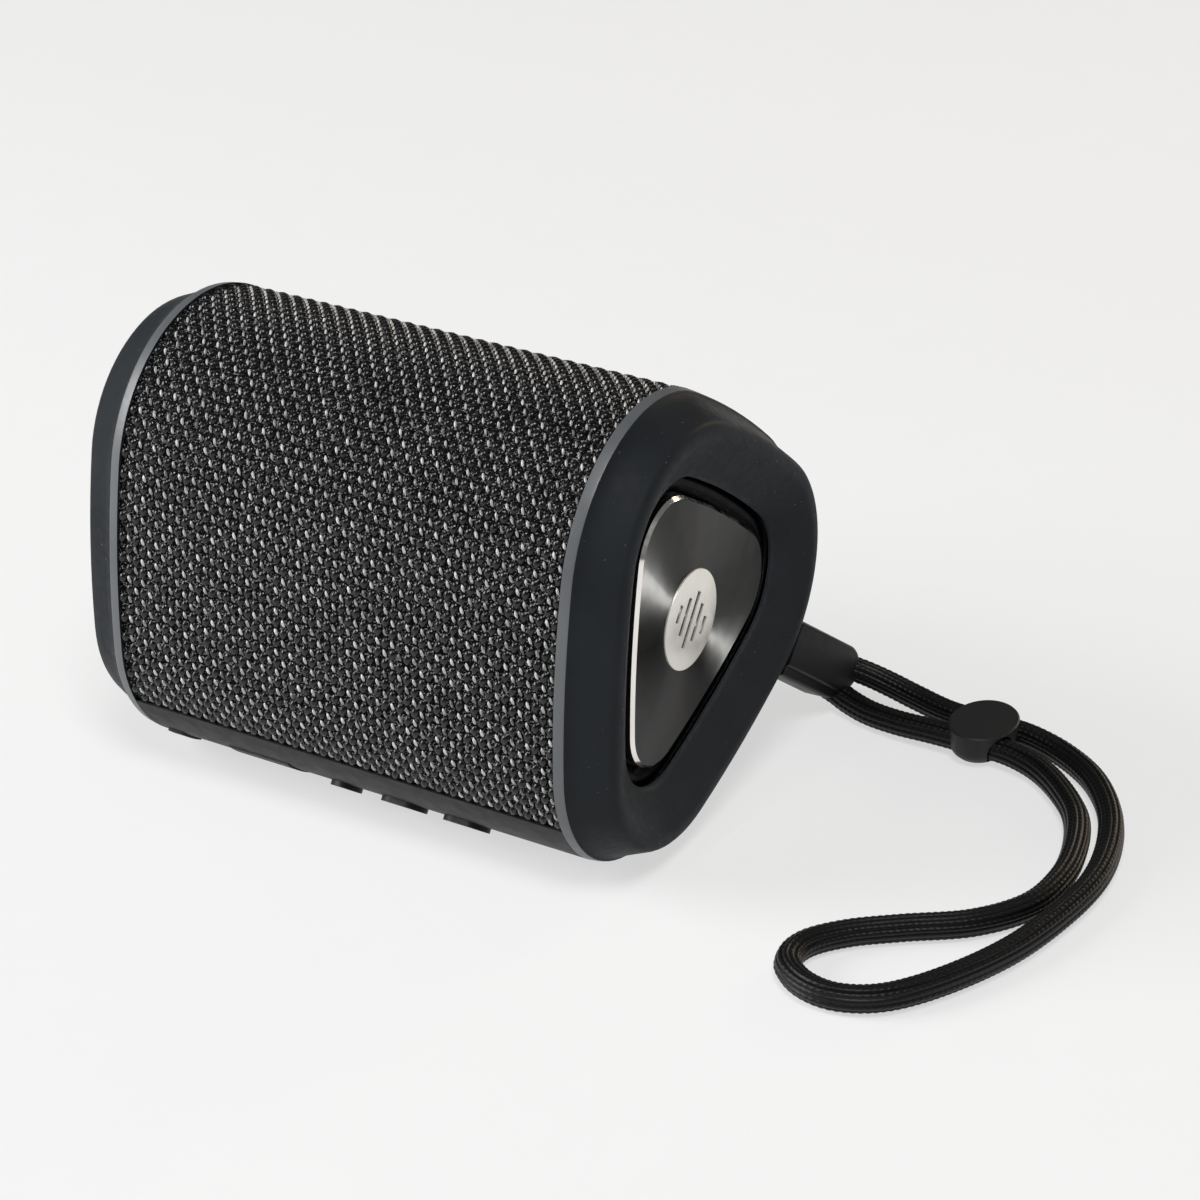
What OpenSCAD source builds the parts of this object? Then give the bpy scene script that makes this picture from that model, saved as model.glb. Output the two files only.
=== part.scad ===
// Pocket shower speaker: a rounded three-sided body in a woven sleeve, with
// an end cap and a passive radiator at each end, a rubber control strip along
// one corner, and a wrist strap pinned to one cap.
// X runs along the body, Z is up, and the body rests on its strip corner.

/* [Body] */
// Length of the woven sleeve between the end caps
sleeve_l = 84; // [78:1:96]
// Radius of the two corners away from the control strip
corner_r = 26.3; // [25:0.1:28]
// Radius of the corner that carries the control strip
strip_corner_r = 25.5; // [25:0.1:27]
// Half the distance between the centres of the two plain corners
corner_half = 13.3; // [12:0.1:15]
// Height of the plain corner centres above the body's centre line
corner_up = 8.1; // [7.5:0.1:9]
// Radius of the gentle bulge of the three sides
bulge_r = 167; // [140:1:260]
// Thickness of the woven sleeve
sleeve_t = 1.0; // [0.6:0.1:1.2]
// Thickness of the moulded shell wall
shell_t = 3.0; // [2.6:0.1:3.2]
// Angle by which the body leans back over its strip corner
lean = 35; // [30:0.5:40]

/* [End caps] */
// Depth of each end cap beyond the sleeve
cap_l = 9.0; // [8.5:0.1:11]
// Depth of the plate that closes each end of the shell
end_plate_t = 2.4; // [2:0.1:3]
// Radius of the screws that hold the end plates
end_screw_r = 1.15; // [1:0.05:1.25]

/* [Controls] */
// Half angle that the control strip covers on its corner
strip_half_angle = 28.6; // [26:0.1:30]
// Thickness of the control strip
strip_t = 2.5; // [2.2:0.1:2.8]
// Place of the power button along the body
power_x = -4.75; // [-6:0.25:-4]
// Place of the minus button along the body
minus_x = 6.8; // [5:0.1:8]
// Place of the plus button along the body
plus_x = 19.0; // [17:0.1:21]
// Width of all three buttons
button_w = 5.5; // [4:0.1:6]
// Length of the minus and plus buttons
long_button_l = 8.4; // [7:0.1:9.5]
// Height of the buttons over the strip
button_rise = 0.85; // [0.6:0.05:1.1]
// Press travel of the buttons
button_travel = 0.5; // [0.3:0.05:0.5]
// Centre of the port door along the body
port_x = -20.2; // [-22:0.1:-19]
// Length of the port door
door_l = 12; // [11.5:0.1:13]
// Width of the port door
door_w = 9.2; // [7:0.1:10]

/* [Radiators] */
// Inset of the radiator plate from the body's outline
plate_inset = 16.6; // [16:0.1:17.4]
// Thickness of the radiator plate
plate_t = 1.6; // [1.2:0.1:2]
// Radius of the round badge on each plate
badge_r = 8.5; // [6:0.1:9]
// Radius of the weight behind each plate
weight_r = 10; // [8:0.1:11]

/* [Driver] */
// Outer radius of the driver's frame
driver_r = 23; // [22:0.1:23.5]
// Outer radius of the moving cone
cone_r = 15.2; // [14.5:0.1:15.5]
// Radius of the pole that the voice coil surrounds
pole_r = 6.2; // [6:0.1:6.3]

/* [Power] */
// Radius of the battery cell
cell_r = 9.2; // [9:0.1:9.5]
// Length of the battery cell
cell_l = 65; // [60:1:66]

/* [Strap] */
// Diameter of the strap cord
cord_d = 4.6; // [4:0.1:4.8]
// Length of the rubber connector from its pin to its nose
connector_l = 28; // [26:0.5:30]
// Thickness of the connector's sleeve
connector_t = 6.6; // [6:0.1:7]
// Width of the connector's sleeve
connector_w = 10.2; // [9.8:0.1:10.8]
// Downward angle of the connector as it rests
connector_tilt = 38.4; // [36:0.1:41]
// Radius of the steel pin that holds the connector
pin_r = 1.2; // [1:0.05:1.3]

/* [Hidden] */
$fn = 64;

half_l = sleeve_l / 2;
boss_l = 8;
gap = 0.3;

// Corner centres of the section, in section coordinates u, v
corner_a = [-corner_half, corner_up];
corner_b = [corner_half, corner_up];
corner_c = [0, -2 * corner_up];
corner_steps = 14;
side_steps = 5;

// Points along a round corner, counter-clockwise, with both ends
function corner_arc(c, r, from, to) =
    [for (i = [0:corner_steps]) let (t = from + (to - from) * i / corner_steps)
        c + r * [cos(t), sin(t)]];

// Centre of the side arc that touches the corners p and q from inside
function side_centre(p, rp, q, rq) =
    let (span = norm(q - p), along = (q - p) / span, inward = [-along[1], along[0]],
         r1 = bulge_r - rp, r2 = bulge_r - rq,
         x = (r1 * r1 - r2 * r2 + span * span) / (2 * span))
    p + along * x + inward * sqrt(r1 * r1 - x * x);

function heading(from, to) = atan2(to[1] - from[1], to[0] - from[0]);

// Direction in which the side arc from p to q leaves and reaches its corners
bc_centre = side_centre(corner_c, strip_corner_r, corner_b, corner_r);
ab_centre = side_centre(corner_b, corner_r, corner_a, corner_r);
ca_centre = side_centre(corner_a, corner_r, corner_c, strip_corner_r);
c_to_bc = heading(bc_centre, corner_c);
b_from_bc = heading(bc_centre, corner_b);
b_to_ab = heading(ab_centre, corner_b);
a_from_ab = heading(ab_centre, corner_a);
a_to_ca = heading(ca_centre, corner_a) + 360;
c_from_ca = heading(ca_centre, corner_c) + 360;

function side_arc(c, r, from, to) =
    [for (i = [1:side_steps - 1]) let (t = from + (to - from) * i / side_steps)
        c + r * [cos(t), sin(t)]];

// The rounded three-sided outline, moved inward by inset
function outline(inset) = concat(
    corner_arc(corner_c, strip_corner_r - inset, c_from_ca, c_to_bc + 360),
    side_arc(bc_centre, bulge_r - inset, c_to_bc, b_from_bc),
    corner_arc(corner_b, corner_r - inset, b_from_bc, b_to_ab),
    side_arc(ab_centre, bulge_r - inset, b_to_ab, a_from_ab),
    corner_arc(corner_a, corner_r - inset, a_from_ab, a_to_ca),
    side_arc(ca_centre, bulge_r - inset, a_to_ca, c_from_ca));

// Place of the leaning body over the floor, from its own outline
leaned = [for (p = outline(0))
    [p[0] * cos(lean) + p[1] * sin(lean), p[1] * cos(lean) - p[0] * sin(lean)]];
body_y = -(max([for (p = leaned) p[0]]) + min([for (p = leaned) p[0]])) / 2;
body_z = -min([for (p = leaned) p[1]]);

// Levels along v, below the body's centre line at the strip corner
strip_out_v = corner_c[1] - strip_corner_r;
shell_channel_r = strip_corner_r - strip_t - 0.1;
key_board_v = -33.7;
key_board_t = 1.2;
switch_top_v = -36.2;

// Driver axis: outward normal of the side between corners A and C
driver_axis_angle = atan2(corner_a[0] - corner_c[0], corner_c[1] - corner_a[1]);
flange_z = 26.2;

// Strap pin and its connector
pin_at = [45.2, 25, 22.4];
connector_yaw = -14;
cord_r = cord_d / 2;
slider_at = [79, 43.8];

// Cord from the connector through the slider, round the wrist loop and back
cord_route = [
    [48.2, 46.2, 7.6], [51.5, 47.8, 6.6], [55, 48.9, 5.5], [59, 49.2, 4.5],
    [64, 48.8, 3.6], [71, 47.6, 3.1], [79, 47.4, 3.1], [86, 47.3, 3],
    [93.5, 45.4, 2.4], [101.2, 40, 2.4], [107.6, 31.6, 2.4], [111.6, 22, 2.4],
    [113.6, 11.5, 2.4], [113.2, 0.5, 2.4], [110.6, -13.5, 2.4], [105.6, -26, 2.4],
    [99.6, -35.2, 2.4], [93, -39.2, 2.4], [86.6, -38.6, 2.4], [82, -34.6, 2.4],
    [82, -28.8, 2.4], [86.2, -22.8, 2.4], [93, -17, 2.4], [102, -10, 2.4],
    [107.7, -1.2, 2.4], [108.8, 8.5, 2.4], [107.2, 18, 2.4], [103.6, 27, 2.4],
    [98, 33.8, 2.4], [91.8, 38.6, 2.5], [85.6, 40.3, 3], [79, 40.4, 3.1],
    [71.5, 40.4, 3.1], [64.5, 40.5, 2.8], [58.5, 41.4, 2.6], [54, 42.8, 2.8],
    [51, 43.6, 3.5], [48.2, 43.6, 4.6]
];

// ---------- helpers ----------

// Stand section coordinates u, v, w up: w runs along X, the body leans back
module section() {
    translate([0, body_y, body_z])
        rotate([-lean, 0, 0])
            rotate([90, 0, 90])
                children();
}

module outline_2d(inset) {
    polygon(outline(inset));
}

// Straight piece of a section shape from x1 to x2
module run(x1, x2) {
    section()
        translate([0, 0, x1])
            linear_extrude(x2 - x1)
                children();
}

// Sector of a disc around the strip corner, for the strip and its channel
module strip_sector(r_in, r_out, half_angle) {
    far = 2 * strip_corner_r;
    translate(corner_c)
        intersection() {
            difference() {
                circle(r_out);
                circle(r_in);
            }
            polygon([[0, 0], [-far * tan(half_angle), -far], [far * tan(half_angle), -far]]);
        }
}

// Box given by its span in u, v and along the body
module section_box(u, v, x) {
    section()
        translate([u[0], v[0], x[0]])
            cube([u[1] - u[0], v[1] - v[0], x[1] - x[0]]);
}

// Rod along v from v1 to v2 at a place along the body
module v_rod(r, u, v1, v2, x) {
    section()
        translate([u, v1, x])
            rotate([-90, 0, 0])
                cylinder(r = r, h = v2 - v1);
}

// Closed ring of flat facets: each profile point is [depth, inset]
module outline_ring(profile) {
    rings = [for (p = profile) [for (q = outline(p[1])) [q[0], q[1], p[0]]]];
    n = len(rings[0]);
    m = len(rings);
    points = [for (ring = rings) for (p = ring) p];
    faces = [for (i = [0:m - 1]) for (j = [0:n - 1])
        let (a = i * n + j, b = i * n + (j + 1) % n,
             c = ((i + 1) % m) * n + (j + 1) % n, d = ((i + 1) % m) * n + j)
        each [[a, b, c], [a, c, d]]];
    polyhedron(points, faces);
}

// Smooth curve through the points of a route, two steps for each leg
function curve_point(p, i, t) =
    let (last = len(p) - 1, a = p[max(i - 1, 0)], b = p[i], c = p[min(i + 1, last)],
         d = p[min(i + 2, last)])
    0.5 * (2 * b + (c - a) * t + (2 * a - 5 * b + 4 * c - d) * t * t
        + (3 * b - a - 3 * c + d) * t * t * t);
function curve(p, steps) = concat(
    [for (i = [0:len(p) - 2]) for (k = [0:steps - 1]) curve_point(p, i, k / steps)],
    [p[len(p) - 1]]);
function unit(v) = v / norm(v);

// Round tube along a path, with flat ends
module tube(path, r, sides) {
    last = len(path) - 1;
    rings = [for (i = [0:last])
        let (t = unit(path[min(i + 1, last)] - path[max(i - 1, 0)]),
             side = unit(cross(t, [0.02, 0.03, 1])), up = cross(side, t))
        [for (k = [0:sides - 1]) path[i] + r * (cos(360 * k / sides) * side
            + sin(360 * k / sides) * up)]];
    points = [for (ring = rings) for (p = ring) p];
    walls = [for (i = [0:last - 1]) for (k = [0:sides - 1])
        let (a = i * sides + k, b = i * sides + (k + 1) % sides)
        each [[a, a + sides, b + sides], [a, b + sides, b]]];
    start = [for (k = [0:sides - 1]) k];
    end = [for (k = [sides - 1:-1:0]) last * sides + k];
    polyhedron(points, concat(walls, [start], [end]));
}

module on_left() {
    mirror([1, 0, 0])
        children();
}

// ---------- housing ----------

// Screw bosses, the driver's seat and the board's posts inside the shell
module shell_bosses() {
    for (s = [-1, 1])
        for (p = end_screw_places())
            section()
                translate([p[0], p[1], s * (half_l - boss_l / 2 - end_plate_t - 0.1) - boss_l / 2])
                    cylinder(r = 3.6, h = boss_l);
    driver_place()
        translate([0, 0, flange_z + 2])
            difference() {
                cylinder(r = driver_r + 1, h = 8);
                translate([0, 0, -1])
                    cylinder(r = driver_r - 3, h = 10);
            }
    for (p = board_screw_places())
        v_rod(2.4, p[0], board_v + board_t, board_v + 9, p[1]);
}

module body_shell() {
    color("#202224")
        difference() {
            union() {
                run(-half_l, half_l)
                    difference() {
                        outline_2d(sleeve_t);
                        outline_2d(sleeve_t + shell_t);
                        strip_sector(shell_channel_r, strip_corner_r, strip_half_angle + 0.6);
                    }
                intersection() {
                    shell_bosses();
                    run(-half_l, half_l)
                        outline_2d(sleeve_t + 1);
                }
            }
            for (s = [-1, 1])
                for (p = end_screw_places())
                    section()
                        translate([p[0], p[1], s * (half_l - 6) - 4.5])
                            cylinder(r = end_screw_r + 0.05, h = 9);
            driver_place()
                translate([0, 0, flange_z + 1])
                    cylinder(r = driver_r - 3, h = 12);
            driver_place()
                translate([0, 0, grille_z])
                    cylinder(r = driver_r - 2, h = 6);
            driver_place()
                translate([0, 0, flange_z + 1])
                    cylinder(r = driver_r + 0.2, h = 1);
            for (p = driver_screw_places())
                driver_place()
                    translate([p[0], p[1], flange_z + 1])
                        cylinder(r = 0.95, h = 4.2);
            for (p = board_screw_places())
                v_rod(0.95, p[0], board_v + board_t - 1, board_v + 4, p[1]);
            for (x = [power_x, minus_x, plus_x])
                v_rod(2, 0, -41, -34, x);
            v_rod(1.1, 0, -41, -34, status_x);
            v_rod(0.8, 0, -41, -34, microphone_x);
            section_box([-2.4, 2.4], [-41, -34], [port_x - 5.2, port_x + 5.2]);
        }
}

// Centres of the three end screws, on the lines out to the corners
function end_screw_places() =
    [for (c = [corner_a, corner_b, corner_c]) c * (1 + (strip_corner_r - 7) / norm(c))];

module fabric_sleeve() {
    color("#1b1c1e")
        run(-half_l, half_l)
            difference() {
                outline_2d(0);
                outline_2d(sleeve_t);
                strip_sector(20, 40, strip_half_angle);
            }
}

// Profile of an end cap: rim band, tapered wall, lip, dished face, rear pocket
cap_profile = [
    [0, 0], [1.5, 0.4], [1.7, 0.75], [cap_l - 0.8, 3.6], [cap_l - 0.15, 4.6],
    [cap_l, 5.6], [cap_l - 0.3, 7], [5.4, 13.2], [4.9, 13.6], [4.2, 13.4],
    [3, 11.9], [1.1, 11.9], [1.1, 8.6], [0, 8.6]
];

module cap_ring() {
    section()
        translate([0, 0, half_l])
            outline_ring(cap_profile);
}

module end_cap_right() {
    slot_w = 4.6;
    color("#2a2c2f")
        difference() {
            cap_ring();
            translate(pin_at)
                rotate([90, 0, 90]) {
                    translate([0, 0, -slot_w / 2])
                        linear_extrude(slot_w) {
                            circle(3.4);
                            for (swing = [0:15:45])
                                rotate(-connector_tilt - swing)
                                    translate([0, -3])
                                        square([14, 6]);
                        }
                    translate([0, 0, -2.8])
                        cylinder(r = pin_r, h = 6.6);
                }
        }
}

module end_cap_left() {
    color("#2a2c2f")
        on_left()
            cap_ring();
}

module end_plate() {
    difference() {
        run(half_l - end_plate_t, half_l)
            difference() {
                outline_2d(sleeve_t + shell_t + 0.2);
                outline_2d(12);
            }
        for (p = end_screw_places())
            section()
                translate([p[0], p[1], half_l]) {
                    translate([0, 0, -end_plate_t - 1])
                        cylinder(r = end_screw_r + 0.15, h = end_plate_t + 2);
                    translate([0, 0, -1.1])
                        cylinder(r = 2.3, h = 2);
                }
    }
}

module end_plate_right() {
    color("#303236")
        end_plate();
}

module end_plate_left() {
    color("#303236")
        on_left()
            end_plate();
}

// Three pan-head screws, heads against the end plate
module end_screws() {
    for (p = end_screw_places())
        section()
            translate([p[0], p[1], half_l - 1.08]) {
                difference() {
                    cylinder(r = 2.1, h = 0.95);
                    translate([0, 0, 0.45])
                        cylinder(r = 0.8, h = 1, $fn = 6);
                }
                translate([0, 0, -7])
                    cylinder(r = end_screw_r, h = 7.1);
            }
}

module end_screws_right() {
    color("silver")
        end_screws();
}

module end_screws_left() {
    color("silver")
        on_left()
            end_screws();
}

// ---------- passive radiators ----------

plate_back = half_l + 4.9 - plate_t;

// Outer lip, half roll and inner lip of the rubber surround
surround_profile = [
    [0.1, 8.9], [1, 8.9], [1, 12.2], [2.4, 12.6], [3.3, 13.5], [3.5, 14.4],
    [3.1, 15.5], [2.5, 16.2], [2.6, 16.9], [3.25, 16.9], [3.25, 18.6], [2.4, 18.6],
    [1.9, 16.9], [1.9, 15.9], [2.5, 15], [2.8, 14.3], [2.6, 13.7], [1.9, 13.1],
    [0.1, 12.8]
];

module surround_ring() {
    section()
        translate([0, 0, half_l])
            outline_ring(surround_profile);
}

module radiator_surround_right() {
    color("#141414")
        surround_ring();
}

module radiator_surround_left() {
    color("#141414")
        on_left()
            surround_ring();
}

module radiator_plate() {
    run(plate_back, plate_back + plate_t)
        outline_2d(plate_inset);
}

module radiator_plate_right() {
    color("#4a4c50")
        radiator_plate();
}

module radiator_plate_left() {
    color("#4a4c50")
        on_left()
            radiator_plate();
}

module radiator_weight() {
    section()
        translate([0, 0, plate_back - 3.4])
            difference() {
                cylinder(r = weight_r - 3.6, h = 3.4);
                translate([0, 0, -1])
                    cylinder(r = 2, h = 3);
            }
}

module radiator_weight_right() {
    color("gray")
        radiator_weight();
}

module radiator_weight_left() {
    color("gray")
        on_left()
            radiator_weight();
}

// Plain round badge with five sound bars cut through it
module badge() {
    bar_w = 1.1;
    bars = [3, 6.4, 9.6, 6.4, 3];
    section()
        translate([0, 0, plate_back + plate_t])
            linear_extrude(0.3)
                difference() {
                    circle(badge_r);
                    for (i = [0:4])
                        translate([(i - 2) * 2.4 - bar_w / 2, -bars[i] / 2])
                            square([bar_w, bars[i]]);
                }
}

module badge_right() {
    color("#c8c6c0")
        badge();
}

module badge_left() {
    color("#c8c6c0")
        on_left()
            badge();
}

// ---------- control strip ----------

status_x = -10.5;
microphone_x = 28;

module stadium(l, w) {
    if (l > w)
        square([l - w, w], center = true);
    for (s = [-1, 1])
        translate([s * max(l - w, 0) / 2, 0])
            circle(d = w);
}

// Stadium prism standing on the strip, along the body, between two v levels
module pad(x, l, w, v1, v2) {
    section()
        translate([0, v1, x])
            rotate([-90, 0, 0])
                rotate([0, 0, 90])
                    linear_extrude(v2 - v1)
                        stadium(l, w);
}

module control_strip() {
    color("#33363a")
        difference() {
            union() {
                run(-half_l + 0.1, half_l - 0.1)
                    strip_sector(strip_corner_r - strip_t, strip_corner_r, strip_half_angle - 0.3);
                run(-39.8, -36.8)
                    strip_sector(strip_corner_r - 0.5, strip_corner_r + 0.45, 7);
            }
            pad(power_x, button_w + 2 * gap, button_w + 2 * gap, -46, -36);
            for (x = [minus_x, plus_x])
                pad(x, long_button_l + 2 * gap, button_w + 2 * gap, -46, -36);
            section_box([-door_w / 2 - gap, door_w / 2 + gap], [-46, -36],
                [port_x - door_l / 2 - gap, port_x + door_l / 2 + gap]);
            v_rod(0.95, 0, -46, -36, status_x);
            v_rod(0.5, 0, -46, -36, microphone_x);
        }
}

// Button cap with a round top that follows the strip, and its stem
module button(x, l) {
    stem_end_v = switch_top_v - button_travel - 0.05;
    intersection() {
        pad(x, l, button_w, strip_out_v - 2, -39.8);
        run(x - l, x + l)
            translate(corner_c)
                circle(strip_corner_r + button_rise);
    }
    v_rod(1.6, 0, -40, stem_end_v, x);
}

module power_button() {
    color("#3a3d41")
        button(power_x, button_w);
}

module minus_button() {
    color("#3a3d41")
        button(minus_x, long_button_l);
}

module plus_button() {
    color("#3a3d41")
        button(plus_x, long_button_l);
}

module port_door() {
    x1 = port_x - door_l / 2;
    x2 = port_x + door_l / 2;
    color("#33363a") {
        intersection() {
            run(x1, x2)
                strip_sector(strip_corner_r - 1.4, strip_corner_r + 0.25, 20);
            section_box([-door_w / 2, door_w / 2], [-46, -36], [x1, x2]);
        }
        section_box([-0.7, 0.7], [-41, -39.5], [port_x - 2.8, port_x + 2.8]);
    }
}

// ---------- key board behind the strip ----------

module key_board() {
    color("#1d5a38")
        difference() {
            section_box([-10, 10], [key_board_v, key_board_v + key_board_t], [-31, 29.5]);
            for (x = [-28.5, 26])
                v_rod(1, 7, key_board_v - 1, key_board_v + 3, x);
        }
}

module key_switches() {
    color("silver")
        for (x = [power_x, minus_x, plus_x]) {
            section_box([-2, 2], [-35.2, key_board_v], [x - 2, x + 2]);
            v_rod(0.9, 0, switch_top_v, -35.2, x);
        }
}

module usb_socket() {
    color("silver")
        difference() {
            section_box([-1.65, 1.65], [-38.9, key_board_v], [port_x - 4.5, port_x + 4.5]);
            section_box([-1.28, 1.28], [-40, -34.2], [port_x - 4.15, port_x + 4.15]);
        }
    color("black")
        section_box([-0.35, 0.35], [-38.4, -34.2], [port_x - 3.3, port_x + 3.3]);
}

module microphone() {
    color("gold")
        section_box([-1.3, 1.3], [-34.7, key_board_v], [microphone_x - 1.4, microphone_x + 1.4]);
}

module status_light() {
    color("white")
        union() {
            section_box([-0.8, 0.8], [-34.5, key_board_v], [status_x - 1, status_x + 1]);
            v_rod(0.75, 0, strip_out_v + 0.1, -34.5, status_x);
        }
}

// ---------- main board ----------

board_v = 24.6;
board_t = 1.6;
board_u = [-17, 17];
board_x = [-31, 31];

function board_screw_places() =
    [for (u = [-13.5, 13.5]) for (x = [-27.5, 27.5]) [u, x]];

module main_board() {
    color("#1d5a38")
        difference() {
            section_box(board_u, [board_v, board_v + board_t], board_x);
            for (p = board_screw_places())
                v_rod(1.2, p[0], board_v - 1, board_v + board_t + 1, p[1]);
        }
}

module board_screws() {
    color("silver")
        for (p = board_screw_places()) {
            v_rod(1.9, p[0], board_v - 1.2, board_v, p[1]);
            v_rod(0.9, p[0], board_v - 0.2, board_v + 3.8, p[1]);
        }
}

module bluetooth_module() {
    color("#2b2b2b")
        section_box([-6, 6], [board_v - 0.8, board_v], [8, 23]);
    color("silver")
        section_box([-5.2, 5.2], [board_v - 2.3, board_v - 0.8], [12.5, 22.4]);
}

module amplifier_chip() {
    color("#1a1a1a")
        section_box([-3.5, 3.5], [board_v - 1.4, board_v], [-6, 1]);
}

module inductors() {
    color("#44484c")
        for (x = [-14, -22])
            section()
                translate([5, board_v - 3.6, x])
                    rotate([-90, 0, 0])
                        cylinder(r = 3.1, h = 3.6);
}

module capacitors() {
    color("#2e4d8a")
        for (u = [-12.5, -5.5])
            v_rod(2.6, u, board_v - 6, board_v, -17);
}

module battery_socket() {
    color("ivory")
        section_box([8.5, 14.5], [board_v - 5, board_v], [-6, 2]);
}

// ---------- battery ----------

cell_at = [16, 7.5];

module battery_cell() {
    color("#3f6aa8")
        section()
            translate([cell_at[0], cell_at[1], -cell_l / 2])
                cylinder(r = cell_r, h = cell_l);
}

// Two saddles that carry the cell on the shell's inner wall
module battery_cradle() {
    color("#303236")
        for (x = [-24, 18])
            run(x, x + 6)
                difference() {
                    intersection() {
                        outline_2d(sleeve_t + shell_t + 0.05);
                        translate([cell_at[0] + 2, -12])
                            square([30, 28]);
                    }
                    translate(cell_at)
                        circle(cell_r + 0.05);
                }
}

// ---------- driver ----------

grille_z = 30.4;

// Local frame of the driver: Z points out through the side of the body
module driver_place() {
    section()
        rotate([0, 0, driver_axis_angle])
            rotate([0, 90, 0])
                children();
}

function driver_screw_places() =
    [for (a = [45:90:315]) [21.6 * cos(a), 21.6 * sin(a)]];

module driver_grille() {
    pitch = 4;
    color("#2b2d30")
        driver_place()
            translate([0, 0, grille_z + 0.02])
                difference() {
                    cylinder(r = driver_r - 2.2, h = 0.7);
                    for (i = [-4:4])
                        for (j = [-4:4])
                            if (norm([i, j]) * pitch < driver_r - 4.5)
                                translate([i * pitch, j * pitch, -1])
                                    cylinder(r = 1.3, h = 3, $fn = 16);
                }
}

module driver_frame() {
    color("#3a3c40")
        driver_place()
            difference() {
                rotate_extrude()
                    polygon([
                        [13.4, 12.2], [13.4, 14], [20, 25], [driver_r, 25], [driver_r, flange_z],
                        [19, flange_z], [12.4, 15], [12.4, 13.4], [7.4, 13.4], [7.4, 12.2]
                    ]);
                for (a = [0:60:300])
                    rotate(a)
                        translate([16, 0, 18.5])
                            rotate([0, 90, 0])
                                cylinder(r = 2.6, h = 8, center = true);
                for (p = driver_screw_places())
                    translate([p[0], p[1], 20])
                        cylinder(r = 1.15, h = 8);
            }
}

module driver_gasket() {
    color("#111111")
        driver_place()
            translate([0, 0, flange_z + 1.05])
                difference() {
                    cylinder(r = driver_r, h = 0.9);
                    translate([0, 0, -1])
                        cylinder(r = 19.8, h = 3);
                    for (p = driver_screw_places())
                        translate([p[0], p[1], -1])
                            cylinder(r = 1.15, h = 4);
                }
}

module driver_screws() {
    color("silver")
        driver_place()
            for (p = driver_screw_places())
                translate([p[0], p[1], 24]) {
                    cylinder(r = 1.5, h = 1);
                    translate([0, 0, 0.9])
                        cylinder(r = 0.9, h = 5.2);
                }
}

// Half roll between the cone and the flange
module driver_surround() {
    color("#141414")
        driver_place()
            translate([0, 0, flange_z])
                difference() {
                    rotate_extrude() {
                        difference() {
                            translate([17.1, 0])
                                circle(2.1);
                            translate([17.1, 0])
                                circle(1.6);
                            translate([12, -5])
                                square([10, 5]);
                        }
                        translate([19, 0])
                            square([driver_r - 19, 1]);
                        translate([14, 0])
                            square([1.3, 0.5]);
                    }
                    for (p = driver_screw_places())
                        translate([p[0], p[1], -1])
                            cylinder(r = 1.15, h = 4);
                }
}

module driver_cone() {
    color("#26282a")
        driver_place()
            rotate_extrude()
                polygon([
                    [7, 17.2], [7, 18.2], [14.6, flange_z - 0.05], [cone_r, flange_z - 0.05],
                    [cone_r, flange_z - 0.7], [14.9, flange_z - 0.7], [7.5, 17.2]
                ]);
}

module dust_cap() {
    color("#1b1c1d")
        driver_place()
            translate([0, 0, 18.9])
                intersection() {
                    difference() {
                        translate([0, 0, -8])
                            sphere(r = 10.4);
                        translate([0, 0, -8])
                            sphere(r = 9.8);
                    }
                    cylinder(r = 7.2, h = 6);
                }
}

module voice_coil() {
    color("#b5713a")
        driver_place()
            translate([0, 0, 9])
                difference() {
                    cylinder(r = 6.9, h = 9.2);
                    translate([0, 0, -1])
                        cylinder(r = 6.5, h = 12);
                }
}

// Corrugated ring that centres the voice coil
module spider() {
    color("#c9a24a")
        driver_place()
            translate([0, 0, 14.9])
                rotate_extrude()
                    polygon([
                        [6.95, 0], [8, 0.6], [9.2, 0], [10.4, 0.6], [11.4, 0.1], [12.3, 0.1],
                        [12.3, 0.5], [11.4, 0.5], [10.4, 1], [9.2, 0.4], [8, 1], [6.95, 0.4]
                    ]);
}

module top_plate() {
    color("gray")
        driver_place()
            translate([0, 0, 10.7])
                difference() {
                    cylinder(r = 12, h = 1.5);
                    translate([0, 0, -1])
                        cylinder(r = 7.25, h = 4);
                }
}

module driver_magnet() {
    color("#35373a")
        driver_place()
            translate([0, 0, 6.2])
                difference() {
                    cylinder(r = 12.6, h = 4.5);
                    translate([0, 0, -1])
                        cylinder(r = 8.2, h = 7);
                }
}

module pole_piece() {
    color("gray")
        driver_place() {
            translate([0, 0, 4.2])
                cylinder(r = 12, h = 2);
            translate([0, 0, 6])
                cylinder(r = pole_r, h = 6.2);
        }
}

module driver_terminals() {
    color("#c79a3b")
        driver_place()
            for (s = [-1, 1])
                translate([20.2, s * 3 - 1.2, 20])
                    cube([0.8, 2.4, 5]);
}

// ---------- wiring ----------

// Path given in driver coordinates beyond the terminals
module driver_wires() {
    color("firebrick")
        for (s = [-1, 1])
            section()
                tube([[-16, 13, -23.5 + s], [-13, 16.5, -24.5 + s], [-10, 18.6, -25.5 + s],
                    [-6, 20.2, -26.5 + s], [-4, 22.4, -26.8 + s], [-3.6, board_v - 0.05, -26.8 + s]],
                    0.6, 8);
}

module battery_wires() {
    color("firebrick")
        for (s = [-1, 1])
            section()
                tube([[16 + 2 * s, 9, -33.2], [16 + 2 * s, 12, -34.8], [16 + s, 16.8, -34.6],
                    [15.6 + s, 19, -30], [14 + s, 20.4, -20], [12 + s, 21, -11],
                    [11.5 + s, 21.6, -6.1]], 0.6, 8);
}

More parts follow.
